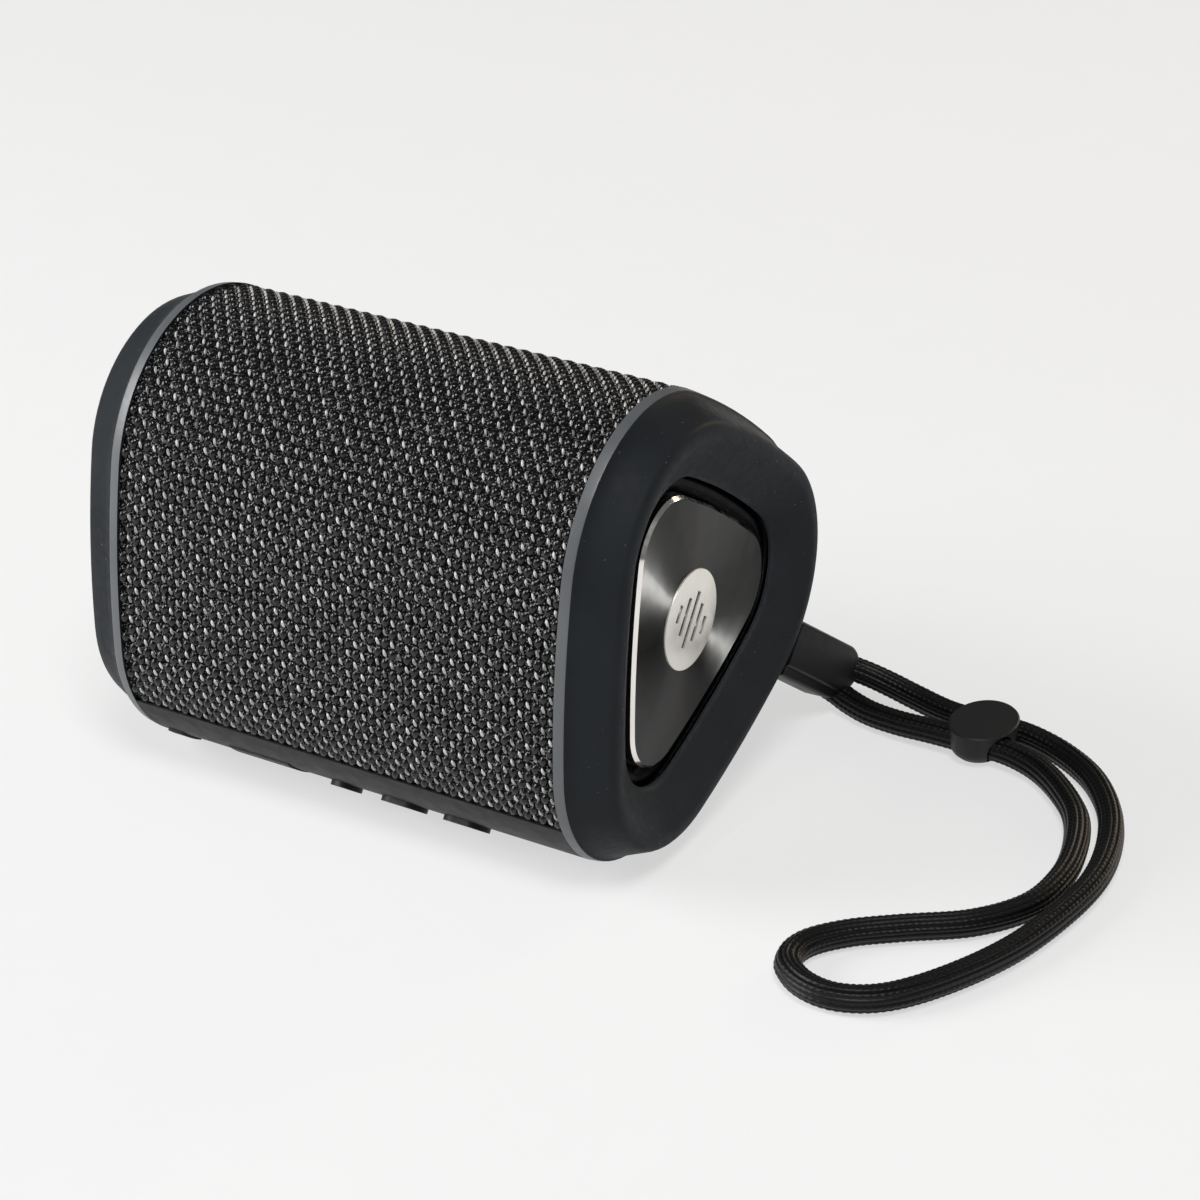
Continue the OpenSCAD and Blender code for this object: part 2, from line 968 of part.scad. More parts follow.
// Flat cable from the key board up to the main board
module key_cable() {
    color("#d8d2c0")
        section()
            tube([[6, key_board_v + key_board_t + 0.05, -29.8], [6, -31, -29.8],
                [6, -28, -31.5], [5, -20, -35.6], [3, -8, -37.6], [1, 6, -37.6],
                [0, 17, -35.6], [0, 21, -31.4], [0, 22.8, -29.4],
                [0, board_v - 0.05, -29.4]], 0.9, 8);
}

// ---------- wrist strap ----------

module strap_pin() {
    color("silver")
        translate(pin_at)
            rotate([0, 90, 0])
                translate([0, 0, -2.75])
                    cylinder(r = pin_r, h = 6.5);
}

// Connector frame: Y runs from the pin to the nose, X through its thickness
module connector_place() {
    translate(pin_at)
        rotate([-connector_tilt, 0, 0])
            children();
}

// Outline of the rubber sleeve, with a rounded nose
module sleeve_outline(l, low, high) {
    nose_r = 4;
    union() {
        translate([0, low])
            square([l - nose_r, high - low]);
        translate([0, low + nose_r])
            square([l, high - low - 2 * nose_r]);
        for (z = [low + nose_r, high - nose_r])
            translate([l - nose_r, z])
                circle(nose_r);
    }
}

module strap_connector() {
    eye_t = 4;
    neck_l = 10;
    half_w = connector_w / 2;
    color("#1c1d1f")
        difference() {
            union() {
                connector_place()
                    rotate([90, 0, 90])
                        translate([0, 0, -eye_t / 2])
                            linear_extrude(eye_t) {
                                circle(2.9);
                                translate([0, -2.6])
                                    square([neck_l + 1, 5.2]);
                            }
                connector_place()
                    translate([0, neck_l - 1, 0])
                        rotate([0, 0, connector_yaw])
                            rotate([90, 0, 90]) {
                                translate([0, 0, -connector_t / 2])
                                    linear_extrude(connector_t - 0.9)
                                        sleeve_outline(connector_l - neck_l + 1, -half_w, half_w);
                                translate([0, 0, connector_t / 2 - 1])
                                    linear_extrude(1)
                                        sleeve_outline(connector_l - neck_l + 2, -half_w + 1.8, half_w);
                            }
            }
            translate(pin_at)
                rotate([0, 90, 0])
                    cylinder(r = pin_r + 0.06, h = 10, center = true);
        }
}

module strap_cord() {
    color("#161618")
        tube(curve(cord_route, 2), cord_r, 10);
}

// Oval slider with two holes side by side
module strap_slider() {
    slider_h = 6;
    color("#232427")
        difference() {
            translate([slider_at[0], slider_at[1], 0.1])
                intersection() {
                    linear_extrude(slider_h)
                        intersection() {
                            translate([-2.6, 0])
                                circle(8.4);
                            translate([2.6, 0])
                                circle(8.4);
                            square([30, 14.8], center = true);
                        }
                    translate([0, 0, 17])
                        sphere(r = 18.6);
                }
            for (y = [47.4, 40.4])
                translate([slider_at[0], y, 3.1])
                    rotate([0, 90, 0])
                        cylinder(r = cord_r + 0.25, h = 30, center = true);
        }
}

body_shell();
fabric_sleeve();
driver_grille();
control_strip();
power_button();
minus_button();
plus_button();
port_door();
end_cap_right();
end_cap_left();
end_plate_right();
end_plate_left();
end_screws_right();
end_screws_left();
radiator_surround_right();
radiator_surround_left();
radiator_plate_right();
radiator_plate_left();
radiator_weight_right();
radiator_weight_left();
badge_right();
badge_left();
driver_frame();
driver_gasket();
driver_screws();
driver_surround();
driver_cone();
dust_cap();
voice_coil();
spider();
top_plate();
driver_magnet();
pole_piece();
driver_terminals();
driver_wires();
main_board();
board_screws();
bluetooth_module();
amplifier_chip();
inductors();
capacitors();
battery_socket();
battery_cell();
battery_cradle();
battery_wires();
key_board();
key_switches();
usb_socket();
microphone();
status_light();
key_cable();
strap_pin();
strap_connector();
strap_cord();
strap_slider();
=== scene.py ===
"""Pocket shower speaker: woven sleeve, rubber caps, radiators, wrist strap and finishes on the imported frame."""
import math

import bpy
from mathutils import Matrix, Vector


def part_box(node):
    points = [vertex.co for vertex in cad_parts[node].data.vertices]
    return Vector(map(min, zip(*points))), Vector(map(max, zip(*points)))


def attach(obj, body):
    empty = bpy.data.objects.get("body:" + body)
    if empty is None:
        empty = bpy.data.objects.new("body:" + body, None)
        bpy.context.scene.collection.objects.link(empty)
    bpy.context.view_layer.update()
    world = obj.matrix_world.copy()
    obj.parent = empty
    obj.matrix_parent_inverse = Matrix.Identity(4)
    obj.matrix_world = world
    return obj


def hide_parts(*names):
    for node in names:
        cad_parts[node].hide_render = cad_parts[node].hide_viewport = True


bl_info = {
    "name": "Shower Speaker",
    "version": (1, 0, 0),
    "blender": (4, 5, 0),
    "location": "View3D > Sidebar > Speaker",
    "description": "Models and finishes a pocket shower speaker piece by piece",
    "category": "Object",
}

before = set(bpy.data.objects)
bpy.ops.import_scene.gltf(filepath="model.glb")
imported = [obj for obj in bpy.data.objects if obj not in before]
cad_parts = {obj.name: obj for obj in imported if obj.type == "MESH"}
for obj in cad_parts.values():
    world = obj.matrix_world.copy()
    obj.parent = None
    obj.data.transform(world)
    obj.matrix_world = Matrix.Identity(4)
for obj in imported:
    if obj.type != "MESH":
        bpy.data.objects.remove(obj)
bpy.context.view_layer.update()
MM = 0.001
SLEEVE_LOW, SLEEVE_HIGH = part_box("fabric_sleeve")
WHITE = (1, 1, 1)

# the strap's pin in the right cap, the connector's angle about it and the steps of its swing
STRAP_PIN = Vector((45.2, 25, 22.4)) * MM
STRAP_TILT = -38.4
STRAP_SWINGS = (0, 15, 30, 45)
# depth of the backing cloth under the sleeve's outer surface
CLOTH_DEPTH = 0.55 * MM
# how far two vertices may be apart and still count as one, and as lying on one plane
JOIN_WITHIN = 0.01 * MM
NEAR = 0.01 * MM


# ---------- what a user would change ----------

class SpeakerSizes(bpy.types.PropertyGroup):
    """Sizes of the speaker's section and pieces"""
    sleeve_length: bpy.props.FloatProperty(
        name="Sleeve length", description="Length of the woven sleeve between the caps",
        default=SLEEVE_HIGH.x - SLEEVE_LOW.x, unit="LENGTH")
    corner_radius: bpy.props.FloatProperty(
        name="Corner radius", description="Radius of the two plain corners of the section",
        default=26.3 * MM, unit="LENGTH")
    strip_corner_radius: bpy.props.FloatProperty(
        name="Strip corner radius", description="Radius of the corner that carries the control strip",
        default=25.5 * MM, unit="LENGTH")
    corner_half: bpy.props.FloatProperty(
        name="Corner half spacing", description="Half the distance between the plain corner centres",
        default=13.3 * MM, unit="LENGTH")
    corner_up: bpy.props.FloatProperty(
        name="Corner height", description="Height of the plain corner centres above the centre line",
        default=8.1 * MM, unit="LENGTH")
    bulge_radius: bpy.props.FloatProperty(
        name="Side bulge", description="Radius of the gentle bulge of the three sides",
        default=167 * MM, unit="LENGTH")
    lean: bpy.props.FloatProperty(
        name="Lean", description="Angle by which the body leans back over its strip corner",
        default=math.radians(35), subtype="ANGLE")
    body_y: bpy.props.FloatProperty(
        name="Centre line Y", description="Place of the body's centre line across the floor",
        default=-3.51118 * MM, unit="LENGTH")
    body_z: bpy.props.FloatProperty(
        name="Centre line Z", description="Height of the body's centre line over the floor",
        default=38.7202 * MM, unit="LENGTH")
    cell_length: bpy.props.FloatProperty(
        name="Weave pitch along", description="Distance between yarn bumps along the body",
        default=2.8 * MM, unit="LENGTH")
    row_pitch: bpy.props.FloatProperty(
        name="Weave pitch around", description="Distance between rows of yarn bumps around the body",
        default=1.85 * MM, unit="LENGTH")
    cord_diameter: bpy.props.FloatProperty(
        name="Cord diameter", description="Thickness of the braided wrist cord",
        default=4.6 * MM, unit="LENGTH")


class SpeakerColours(bpy.types.PropertyGroup):
    """Colours of the visible finishes"""
    cap: bpy.props.FloatVectorProperty(
        name="Cap rubber", description="Colour of the end caps", subtype="COLOR",
        size=3, min=0, max=1, default=(0.0185, 0.021, 0.0238))
    strip: bpy.props.FloatVectorProperty(
        name="Strip rubber", description="Colour of the control strip", subtype="COLOR",
        size=3, min=0, max=1, default=(0.0042, 0.0046, 0.0052))
    yarn: bpy.props.FloatVectorProperty(
        name="Yarn", description="Colour of the woven sleeve", subtype="COLOR",
        size=3, min=0, max=1, default=(0.0022, 0.0022, 0.0025))
    # painted glint: the floats' light grey stands in for light off the glossy yarn
    floats: bpy.props.FloatVectorProperty(
        name="Painted float glint", description="Light grey painted on the glossy yarn that floats over the weave, as its glint",
        subtype="COLOR", size=3, min=0, max=1, default=(0.42, 0.42, 0.42))
    plate: bpy.props.FloatVectorProperty(
        name="Radiator plate", description="Colour of the spun radiator plates", subtype="COLOR",
        size=3, min=0, max=1, default=(0.02, 0.0198, 0.019))
    badge: bpy.props.FloatVectorProperty(
        name="Badge", description="Colour of the round badges", subtype="COLOR",
        size=3, min=0, max=1, default=(0.86, 0.84, 0.78))
    cord: bpy.props.FloatVectorProperty(
        name="Cord", description="Colour of the braided wrist cord", subtype="COLOR",
        size=3, min=0, max=1, default=(0.0028, 0.0028, 0.003))
    floor: bpy.props.FloatVectorProperty(
        name="Floor", description="Colour of the floor", subtype="COLOR",
        size=3, min=0, max=1, default=(0.3, 0.3, 0.3))


class SpeakerStage(bpy.types.PropertyGroup):
    """Camera and lights"""
    lens: bpy.props.FloatProperty(
        name="Lens", description="Focal length of the camera, in millimetres", default=103.87)
    camera_at: bpy.props.FloatVectorProperty(
        name="Camera place", description="Place of the camera", subtype="TRANSLATION", size=3,
        default=(0.2832, -0.4357, 0.3016))
    looks_along: bpy.props.FloatVectorProperty(
        name="Camera direction", description="Direction in which the camera looks",
        subtype="DIRECTION", size=3, default=(-0.4471, 0.7636, -0.4661))
    key_power: bpy.props.FloatProperty(
        name="Key light", description="Power of the large light on the left, in watts", default=16)
    top_power: bpy.props.FloatProperty(
        name="Top light", description="Power of the light above the front, in watts", default=6)
    card_power: bpy.props.FloatProperty(
        name="Card light", description="Power of the low light on the right, in watts", default=0.8)
    plate_power: bpy.props.FloatProperty(
        name="Plate light", default=55,
        description="Power of the small light that only the radiator plates catch, in watts")
    warm_power: bpy.props.FloatProperty(
        name="Warm light", description="Power of the warm light behind, in watts", default=2)
    sky: bpy.props.FloatProperty(
        name="Sky", description="Strength of the even light all round", default=0.12)
    floor_glow: bpy.props.FloatProperty(
        name="Floor glow", description="Light that the floor gives off by itself", default=0.6)


# ---------- the section ----------

def place(u, v, x):
    """World point of section coordinates u, v at x along the body."""
    s = bpy.context.scene.speaker_sizes
    c, n = math.cos(s.lean), math.sin(s.lean)
    return Vector((x, s.body_y + u * c + v * n, s.body_z - u * n + v * c))


def side_centre(p, rp, q, rq, bulge):
    """Centre of the side arc that touches two corners from inside."""
    span = (q - p).length
    along = (q - p) / span
    inward = Vector((-along.y, along.x))
    r1, r2 = bulge - rp, bulge - rq
    reach = (r1 * r1 - r2 * r2 + span * span) / (2 * span)
    return p + along * reach + inward * math.sqrt(r1 * r1 - reach * reach)


def section_arcs(corner_steps=24, side_steps=8):
    """The six arcs of the section, counter-clockwise: centre, radius, start and end angle, steps."""
    s = bpy.context.scene.speaker_sizes
    a = Vector((-s.corner_half, s.corner_up))
    b = Vector((s.corner_half, s.corner_up))
    c = Vector((0, -2 * s.corner_up))
    ra, rc, bulge = s.corner_radius, s.strip_corner_radius, s.bulge_radius
    bc = side_centre(c, rc, b, ra, bulge)
    ab = side_centre(b, ra, a, ra, bulge)
    ca = side_centre(a, ra, c, rc, bulge)

    def heading(start, end, turn=0):
        return math.atan2(end.y - start.y, end.x - start.x) + turn

    full = 2 * math.pi
    return [
        (c, rc, heading(ca, c, full), heading(bc, c, full), corner_steps),
        (bc, bulge, heading(bc, c), heading(bc, b), side_steps),
        (b, ra, heading(bc, b), heading(ab, b), corner_steps),
        (ab, bulge, heading(ab, b), heading(ab, a), side_steps),
        (a, ra, heading(ab, a), heading(ca, a, full), corner_steps),
        (ca, bulge, heading(ca, a, full), heading(ca, c, full), side_steps),
    ]


def sleeve_arcs(half_angle=math.radians(28.6)):
    """The section's arcs that the sleeve covers, from one edge of the control strip round to the other."""
    arcs = section_arcs()
    c, rc, start, end, steps = arcs[0]
    down = 1.5 * math.pi
    return [(c, rc, down + half_angle, end, steps // 2)] + arcs[1:] + [
        (c, rc, start, down - half_angle, steps // 2)]


# ---------- modelling by hand ----------

def clear_selection():
    """Object mode with nothing selected."""
    if bpy.context.object is not None and bpy.context.object.mode != "OBJECT":
        bpy.ops.object.mode_set(mode="OBJECT")
    bpy.ops.object.select_all(action="DESELECT")


def settle():
    """Puts the selected pieces' place, turn and scale into their meshes."""
    bpy.ops.object.transform_apply(location=True, rotation=True, scale=True)


def rod(vertices, radius, depth, at):
    """A new cylinder that lies along the body, active and selected."""
    clear_selection()
    bpy.ops.mesh.primitive_cylinder_add(vertices=vertices, radius=radius, depth=depth, location=at,
                                        rotation=(0, math.pi / 2, 0))
    return bpy.context.object


def bar(at, turn, size):
    """A new block turned about the body's length, active and selected."""
    clear_selection()
    bpy.ops.mesh.primitive_cube_add(size=1, location=at, rotation=(turn, 0, 0), scale=size)
    return bpy.context.object


def face_outward():
    """In edit mode, turns all faces outward, and leaves edit mode."""
    bpy.ops.mesh.select_all(action="SELECT")
    bpy.ops.mesh.normals_make_consistent(inside=False)
    bpy.ops.object.mode_set(mode="OBJECT")


def named(name):
    """Names the active object and its mesh."""
    piece = bpy.context.object
    piece.name = name
    piece.data.name = name
    return piece


def pick(test, kind="FACE"):
    """In edit mode, selects what passes a test of a face, of an edge's two ends or of a vertex's place."""
    piece = bpy.context.object
    bpy.ops.mesh.select_mode(type=kind)
    bpy.ops.mesh.select_all(action="DESELECT")
    bpy.ops.object.mode_set(mode="OBJECT")
    mesh = piece.data
    if kind == "FACE":
        for face in mesh.polygons:
            face.select = test(face)
    elif kind == "EDGE":
        for edge in mesh.edges:
            a, b = (mesh.vertices[i].co for i in edge.vertices)
            edge.select = test(a, b)
    else:
        for vertex in mesh.vertices:
            vertex.select = test(vertex.co)
    bpy.ops.object.mode_set(mode="EDIT")


def draw_section(name, inset, x, arcs=None):
    """A new object that follows the section's arcs at x, spun one after the other, left in edit mode."""
    arcs = arcs or section_arcs()
    clear_selection()
    c, r, start, _, _ = arcs[0]
    first = c + (r - inset) * Vector((math.cos(start), math.sin(start)))
    bpy.ops.mesh.primitive_plane_add(size=0.2 * MM, location=place(first.x, first.y, x))
    settle()
    named(name)
    bpy.ops.object.mode_set(mode="EDIT")
    bpy.ops.mesh.select_mode(type="VERT")
    bpy.ops.mesh.select_all(action="SELECT")
    bpy.ops.mesh.merge(type="CENTER")
    bpy.ops.mesh.select_all(action="SELECT")
    for c, _, start, end, steps in arcs:
        bpy.ops.mesh.spin(steps=steps, angle=start - end, center=place(c.x, c.y, x), axis=(1, 0, 0))
    bpy.ops.mesh.select_all(action="SELECT")
    bpy.ops.mesh.remove_doubles(threshold=JOIN_WITHIN)
    return bpy.context.object


def fill_section(name, inset, x, towards=1):
    """A filled face of the section at x that looks along +X or -X, selected, in edit mode."""
    piece = draw_section(name, inset, x)
    bpy.ops.mesh.edge_face_add()
    bpy.ops.object.mode_set(mode="OBJECT")
    turned = piece.data.polygons[0].normal.x * towards < 0
    bpy.ops.object.mode_set(mode="EDIT")
    bpy.ops.mesh.select_mode(type="FACE")
    bpy.ops.mesh.select_all(action="SELECT")
    if turned:
        bpy.ops.mesh.flip_normals()
    return piece


def inset_along(profile):
    """Insets the selected face step by step along a profile of (depth, inset) points, in millimetres."""
    for (d0, i0), (d1, i1) in zip(profile, profile[1:]):
        bpy.ops.mesh.inset(thickness=max(i1 - i0, 0.001) * MM, depth=(d1 - d0) * MM,
                           use_even_offset=True, use_boundary=True)


def skin(name, profile, end):
    """An open skin that follows the section beyond x along a profile of (depth, inset) points."""
    piece = fill_section(name, profile[0][1] * MM, end + profile[0][0] * MM)
    inset_along(profile)
    bpy.ops.mesh.delete(type="ONLY_FACE")
    bpy.ops.object.mode_set(mode="OBJECT")
    return piece


def closed_up(piece, angle=30):
    """Merges doubles, turns all faces outward, shades the piece smooth and leaves edit mode."""
    bpy.ops.mesh.select_all(action="SELECT")
    bpy.ops.mesh.remove_doubles(threshold=0.002 * MM)
    bpy.ops.mesh.normals_make_consistent(inside=False)
    bpy.ops.object.mode_set(mode="OBJECT")
    smooth(piece, angle)


def only(piece):
    """Makes a piece the only selected one, and active."""
    clear_selection()
    piece.select_set(True)
    bpy.context.view_layer.objects.active = piece


def smooth(piece, angle=30):
    """Shades a piece smooth wherever its faces meet at less than the angle."""
    only(piece)
    bpy.ops.object.shade_smooth_by_angle(angle=math.radians(angle))


def apply_modifiers(piece):
    """Applies a piece's modifiers, from the first to the last."""
    only(piece)
    for modifier in list(piece.modifiers):
        bpy.ops.object.modifier_apply(modifier=modifier.name)


def carve(piece, cutter, how="DIFFERENCE"):
    """Cuts a cutter out of a piece, or joins it on, and removes the cutter."""
    cut = piece.modifiers.new("Cut", "BOOLEAN")
    cut.operation, cut.solver, cut.object = how, "EXACT", cutter
    apply_modifiers(piece)
    mesh = cutter.data
    bpy.data.objects.remove(cutter)
    bpy.data.meshes.remove(mesh)


def mirrored(piece, name):
    """A copy on the other end of the body, with its own mesh and its faces turned outward."""
    only(piece)
    bpy.ops.object.duplicate()
    copy = named(name)
    copy.scale.x = -1
    settle()
    bpy.ops.object.mode_set(mode="EDIT")
    face_outward()
    return copy


def finished(piece, body, slot, nodes, *materials):
    """Gives a piece its materials and its body, and hides the CAD nodes it stands for; slot is not used."""
    if materials:
        piece.data.materials.clear()
        for material in materials:
            piece.data.materials.append(material)
    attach(piece, body)
    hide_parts(*nodes)


def on_both_ends(piece, body, slot, node, *materials):
    """Finishes a piece of the right end and its mirrored copy for the left end; {} stands for the side."""
    pieces = (piece, mirrored(piece, piece.name.replace("right", "left")))
    for each, side in zip(pieces, ("right", "left")):
        nodes = [node.format(side)] if node else []
        finished(each, body.format(side), slot, nodes, *materials)
    return pieces


# ---------- finishes ----------

class Finish:
    """A material's node tree, built one node at a time."""

    def __init__(self, name):
        self.material = bpy.data.materials.new(name)
        self.material.use_nodes = True
        self.tree = self.material.node_tree
        self.shader = self.tree.nodes["Principled BSDF"]
        self.where = self.add("ShaderNodeTexCoord")

    def add(self, kind, **values):
        """A new node with some of its inputs or settings given."""
        node = self.tree.nodes.new(kind)
        for key, value in values.items():
            if key in node.inputs:
                node.inputs[key].default_value = value
            else:
                setattr(node, key, value)
        return node

    def join(self, output, target):
        self.tree.links.new(output, target)

    def noise(self, scale, detail=3.0, stretch=None, source=None):
        """Noise over the surface, in cycles per metre; stretch scales it along each axis."""
        node = self.add("ShaderNodeTexNoise", Scale=scale, Detail=detail)
        source = source or self.where.outputs["Object"]
        if stretch:
            mapping = self.add("ShaderNodeMapping")
            mapping.inputs["Scale"].default_value = stretch
            self.join(source, mapping.inputs["Vector"])
            source = mapping.outputs["Vector"]
        self.join(source, node.inputs["Vector"])
        return node.outputs["Fac"]

    def ramp(self, value, *stops):
        """Colour or grey stops as (place, colour)."""
        node = self.add("ShaderNodeValToRGB")
        points = node.color_ramp.elements
        while len(points) < len(stops):
            points.new(0.5)
        for point, (at, colour) in zip(points, stops):
            point.position = at
            point.color = (*colour, 1) if hasattr(colour, "__len__") else (colour, colour, colour, 1)
        self.join(value, node.inputs["Fac"])
        return node.outputs["Color"]

    def bump(self, height, strength, distance):
        """Adds a bump under those already there."""
        node = self.add("ShaderNodeBump", Strength=strength, Distance=distance)
        self.join(height, node.inputs["Height"])
        before = self.shader.inputs["Normal"].links
        if before:
            self.join(before[0].from_socket, node.inputs["Normal"])
        self.join(node.outputs["Normal"], self.shader.inputs["Normal"])

    def gloss(self, **values):
        """Sets constants on the shader's own sockets."""
        for key, value in values.items():
            self.shader.inputs[key.replace("_", " ")].default_value = value


def shades(colour, low, high):
    """A darker and a lighter shade of a colour."""
    return [tuple(min(1, c * k) for c in colour) for k in (low, high)]


def moulded(name, colour, rough=0.5, grain=2500.0, depth=0.02, metallic=0.0, spread=0.12,
            specular=0.5):
    """A moulded, cast or cut surface: slight colour drift, uneven gloss and fine grain."""
    f = Finish(name)
    low, high = shades(colour, 1 - spread, 1 + spread)
    drift = f.noise(90.0, 4.0)
    f.join(f.ramp(drift, (0.3, low), (0.7, high)), f.shader.inputs["Base Color"])
    f.join(f.ramp(f.noise(400.0, 3.0), (0.3, rough - 0.06), (0.7, rough + 0.06)),
           f.shader.inputs["Roughness"])
    f.bump(f.noise(grain, 2.0), 0.35, depth * MM)
    f.gloss(Metallic=metallic, Specular_IOR_Level=specular)
    return f.material


def cap_rubber_finish():
    """Soft-touch rubber with a fine grain and a little dust."""
    colours = bpy.context.scene.speaker_colours
    f = Finish("soft_touch_rubber")
    low, high = shades(colours.cap, 0.85, 1.2)
    drift = f.ramp(f.noise(60.0, 4.0), (0.3, low), (0.7, high))
    dust = f.ramp(f.noise(1500.0, 1.0), (0.775, 0.0), (0.8, 1.0))
    mix = f.add("ShaderNodeMix", data_type="RGBA")
    mix.inputs["B"].default_value = (0.12, 0.12, 0.12, 1)
    f.join(dust, mix.inputs["Factor"])
    f.join(drift, mix.inputs["A"])
    f.join(mix.outputs["Result"], f.shader.inputs["Base Color"])
    f.join(f.ramp(f.noise(700.0, 3.0), (0.3, 0.44), (0.7, 0.56)), f.shader.inputs["Roughness"])
    f.bump(f.noise(4200.0, 2.0), 0.3, 0.03 * MM)
    f.gloss(Specular_IOR_Level=0.05)
    return f.material


def rim_band_painted_sheen_finish():
    """The rubber band next to the sleeve: its lighter grey is painted sheen, the reflection of the key light,
    over a smoother, glossier surface.
    """
    f = Finish("rim_band_rubber")
    # painted sheen: these greys, far lighter than the cap's rubber, stand in for the key light's reflection on
    # the band
    f.join(f.ramp(f.noise(60.0, 4.0), (0.3, (0.085, 0.091, 0.097)), (0.7, (0.11, 0.117, 0.124))),
           f.shader.inputs["Base Color"])
    f.join(f.ramp(f.noise(700.0, 3.0), (0.3, 0.38), (0.7, 0.48)), f.shader.inputs["Roughness"])
    f.bump(f.noise(4200.0, 2.0), 0.3, 0.03 * MM)
    f.gloss(Specular_IOR_Level=0.6)
    return f.material


def yarn_finish(name, colour, rough, specular):
    """Twisted filament yarn: fine strands across the bump, uneven gloss."""
    f = Finish(name)
    low, high = shades(colour, 0.3, 1.7)
    f.join(f.ramp(f.noise(520.0, 2.0), (0.35, low), (0.65, high)), f.shader.inputs["Base Color"])
    f.join(f.ramp(f.noise(1600.0, 2.0), (0.3, rough - 0.1), (0.7, rough + 0.12)),
           f.shader.inputs["Roughness"])
    f.bump(f.noise(5200.0, 1.0, stretch=(1.0, 0.35, 0.35)), 0.6, 0.08 * MM)
    f.gloss(Specular_IOR_Level=specular, Sheen_Weight=0.1, Sheen_Roughness=0.3)
    return f.material


def backing_cloth_painted_glints_finish():
    """Matte black cloth behind the weave, with bright specks painted into its colour as the glints of stray
    fibres.
    """
    f = Finish("sleeve_backing_cloth_painted_glints")
    # painted glints: noise lifts scattered specks of the black cloth to light grey
    f.join(f.ramp(f.noise(3400.0, 2.0), (0.57, 0.0015), (0.64, 0.22)), f.shader.inputs["Base Color"])
    f.bump(f.noise(3000.0, 2.0), 0.8, 0.15 * MM)
    f.gloss(Roughness=0.8, Specular_IOR_Level=0.05)
    return f.material


def spun_metal_finish():
    """Dark metal turned on a lathe: circular grooves about the plate's centre."""
    colours, s = bpy.context.scene.speaker_colours, bpy.context.scene.speaker_sizes
    f = Finish("spun_gunmetal")
    low, high = shades(colours.plate, 0.9, 1.1)
    f.join(f.ramp(f.noise(70.0, 3.0), (0.3, low), (0.7, high)), f.shader.inputs["Base Color"])
    centre = f.add("ShaderNodeMapping")
    centre.inputs["Location"].default_value = (0, -s.body_y, -s.body_z)
    f.join(f.where.outputs["Object"], centre.inputs["Vector"])
    rings = f.add("ShaderNodeTexWave", wave_type="RINGS", rings_direction="X", Scale=900.0,
                  Distortion=0.4)
    f.join(centre.outputs["Vector"], rings.inputs["Vector"])
    f.bump(rings.outputs["Fac"], 0.12, 0.01 * MM)
    f.join(f.ramp(f.noise(260.0, 2.0), (0.3, 0.3), (0.7, 0.36)), f.shader.inputs["Roughness"])
    tangent = f.add("ShaderNodeTangent", direction_type="UV_MAP", uv_map="turned")
    f.join(tangent.outputs["Tangent"], f.shader.inputs["Tangent"])
    f.gloss(Metallic=1.0, Anisotropic=0.95, Anisotropic_Rotation=0.25)
    return f.material


def braid_finish():
    """Braided cord cover: fine filaments with an uneven gloss."""
    colours = bpy.context.scene.speaker_colours
    f = Finish("braided_cover")
    low, high = shades(colours.cord, 0.3, 1.6)
    f.join(f.ramp(f.noise(1400.0, 2.0), (0.3, low), (0.7, high)), f.shader.inputs["Base Color"])
    f.bump(f.noise(6000.0, 1.0), 0.5, 0.06 * MM)
    f.gloss(Roughness=0.42, Specular_IOR_Level=0.26, Sheen_Weight=0.05, Sheen_Roughness=0.35)
    return f.material


# ---------- pieces ----------

class SPEAKER_OT_stage(bpy.types.Operator):
    """Pale floor, even sky, soft lights and the camera"""
    bl_idname = "speaker.stage"
    bl_label = "Stage"

    def execute(self, context):
        stage, colours = context.scene.speaker_stage, context.scene.speaker_colours
        clear_selection()
        bpy.ops.mesh.primitive_plane_add(size=6)
        floor = named("studio_floor")
        paper = moulded("matte_paper", colours.floor, rough=0.85, grain=1200.0, depth=0.01,
                        spread=0.01, specular=0.1)
        shader = paper.node_tree.nodes["Principled BSDF"]
        shader.inputs["Emission Color"].default_value = (*WHITE, 1)
        shader.inputs["Emission Strength"].default_value = stage.floor_glow
        floor.data.materials.append(paper)

        world = bpy.data.worlds.new("Even sky")
        context.scene.world = world
        world.use_nodes = True
        sky = world.node_tree.nodes["Background"].inputs
        sky["Color"].default_value = (*WHITE, 1)
        sky["Strength"].default_value = stage.sky

        for name, at, size, power, colour in (
                ("Key light", (-0.95, -0.65, 0.6), 0.8, stage.key_power, WHITE),
                ("Top light", (0.3, -0.4, 1.0), 0.4, stage.top_power, WHITE),
                ("Card light", (1.0, 0.18, 0.09), 0.14, stage.card_power, WHITE),
                ("Plate light", (1.0, 0.2, 0.07), 0.035, stage.plate_power, WHITE),
                ("Warm light", (0.3, 0.95, 0.3), 0.3, stage.warm_power, (1, 0.82, 0.62))):
            self.light(name, at, size, power, colour)

        bpy.ops.object.camera_add(location=stage.camera_at)
        camera = bpy.context.object
        camera.name = "Camera"
        camera.rotation_mode = "QUATERNION"
        camera.rotation_quaternion = Vector(stage.looks_along).to_track_quat("-Z", "Y")
        camera.data.lens = stage.lens
        camera.data.sensor_width = 36
        camera.data.clip_start, camera.data.clip_end = 0.01, 20
        context.scene.camera = camera
        context.scene.view_settings.view_transform = "Standard"
        return {"FINISHED"}

    @staticmethod
    def light(name, at, size, power, colour):
        """A round area light that faces the place where the speaker stands."""
        bpy.ops.object.light_add(type="AREA", location=at)
        lamp = bpy.context.object
        lamp.name = name
        lamp.data.shape, lamp.data.size, lamp.data.energy = "DISK", size, power
        lamp.data.color = colour
        lamp.rotation_euler = (-Vector(at)).to_track_quat("-Z", "Y").to_euler()


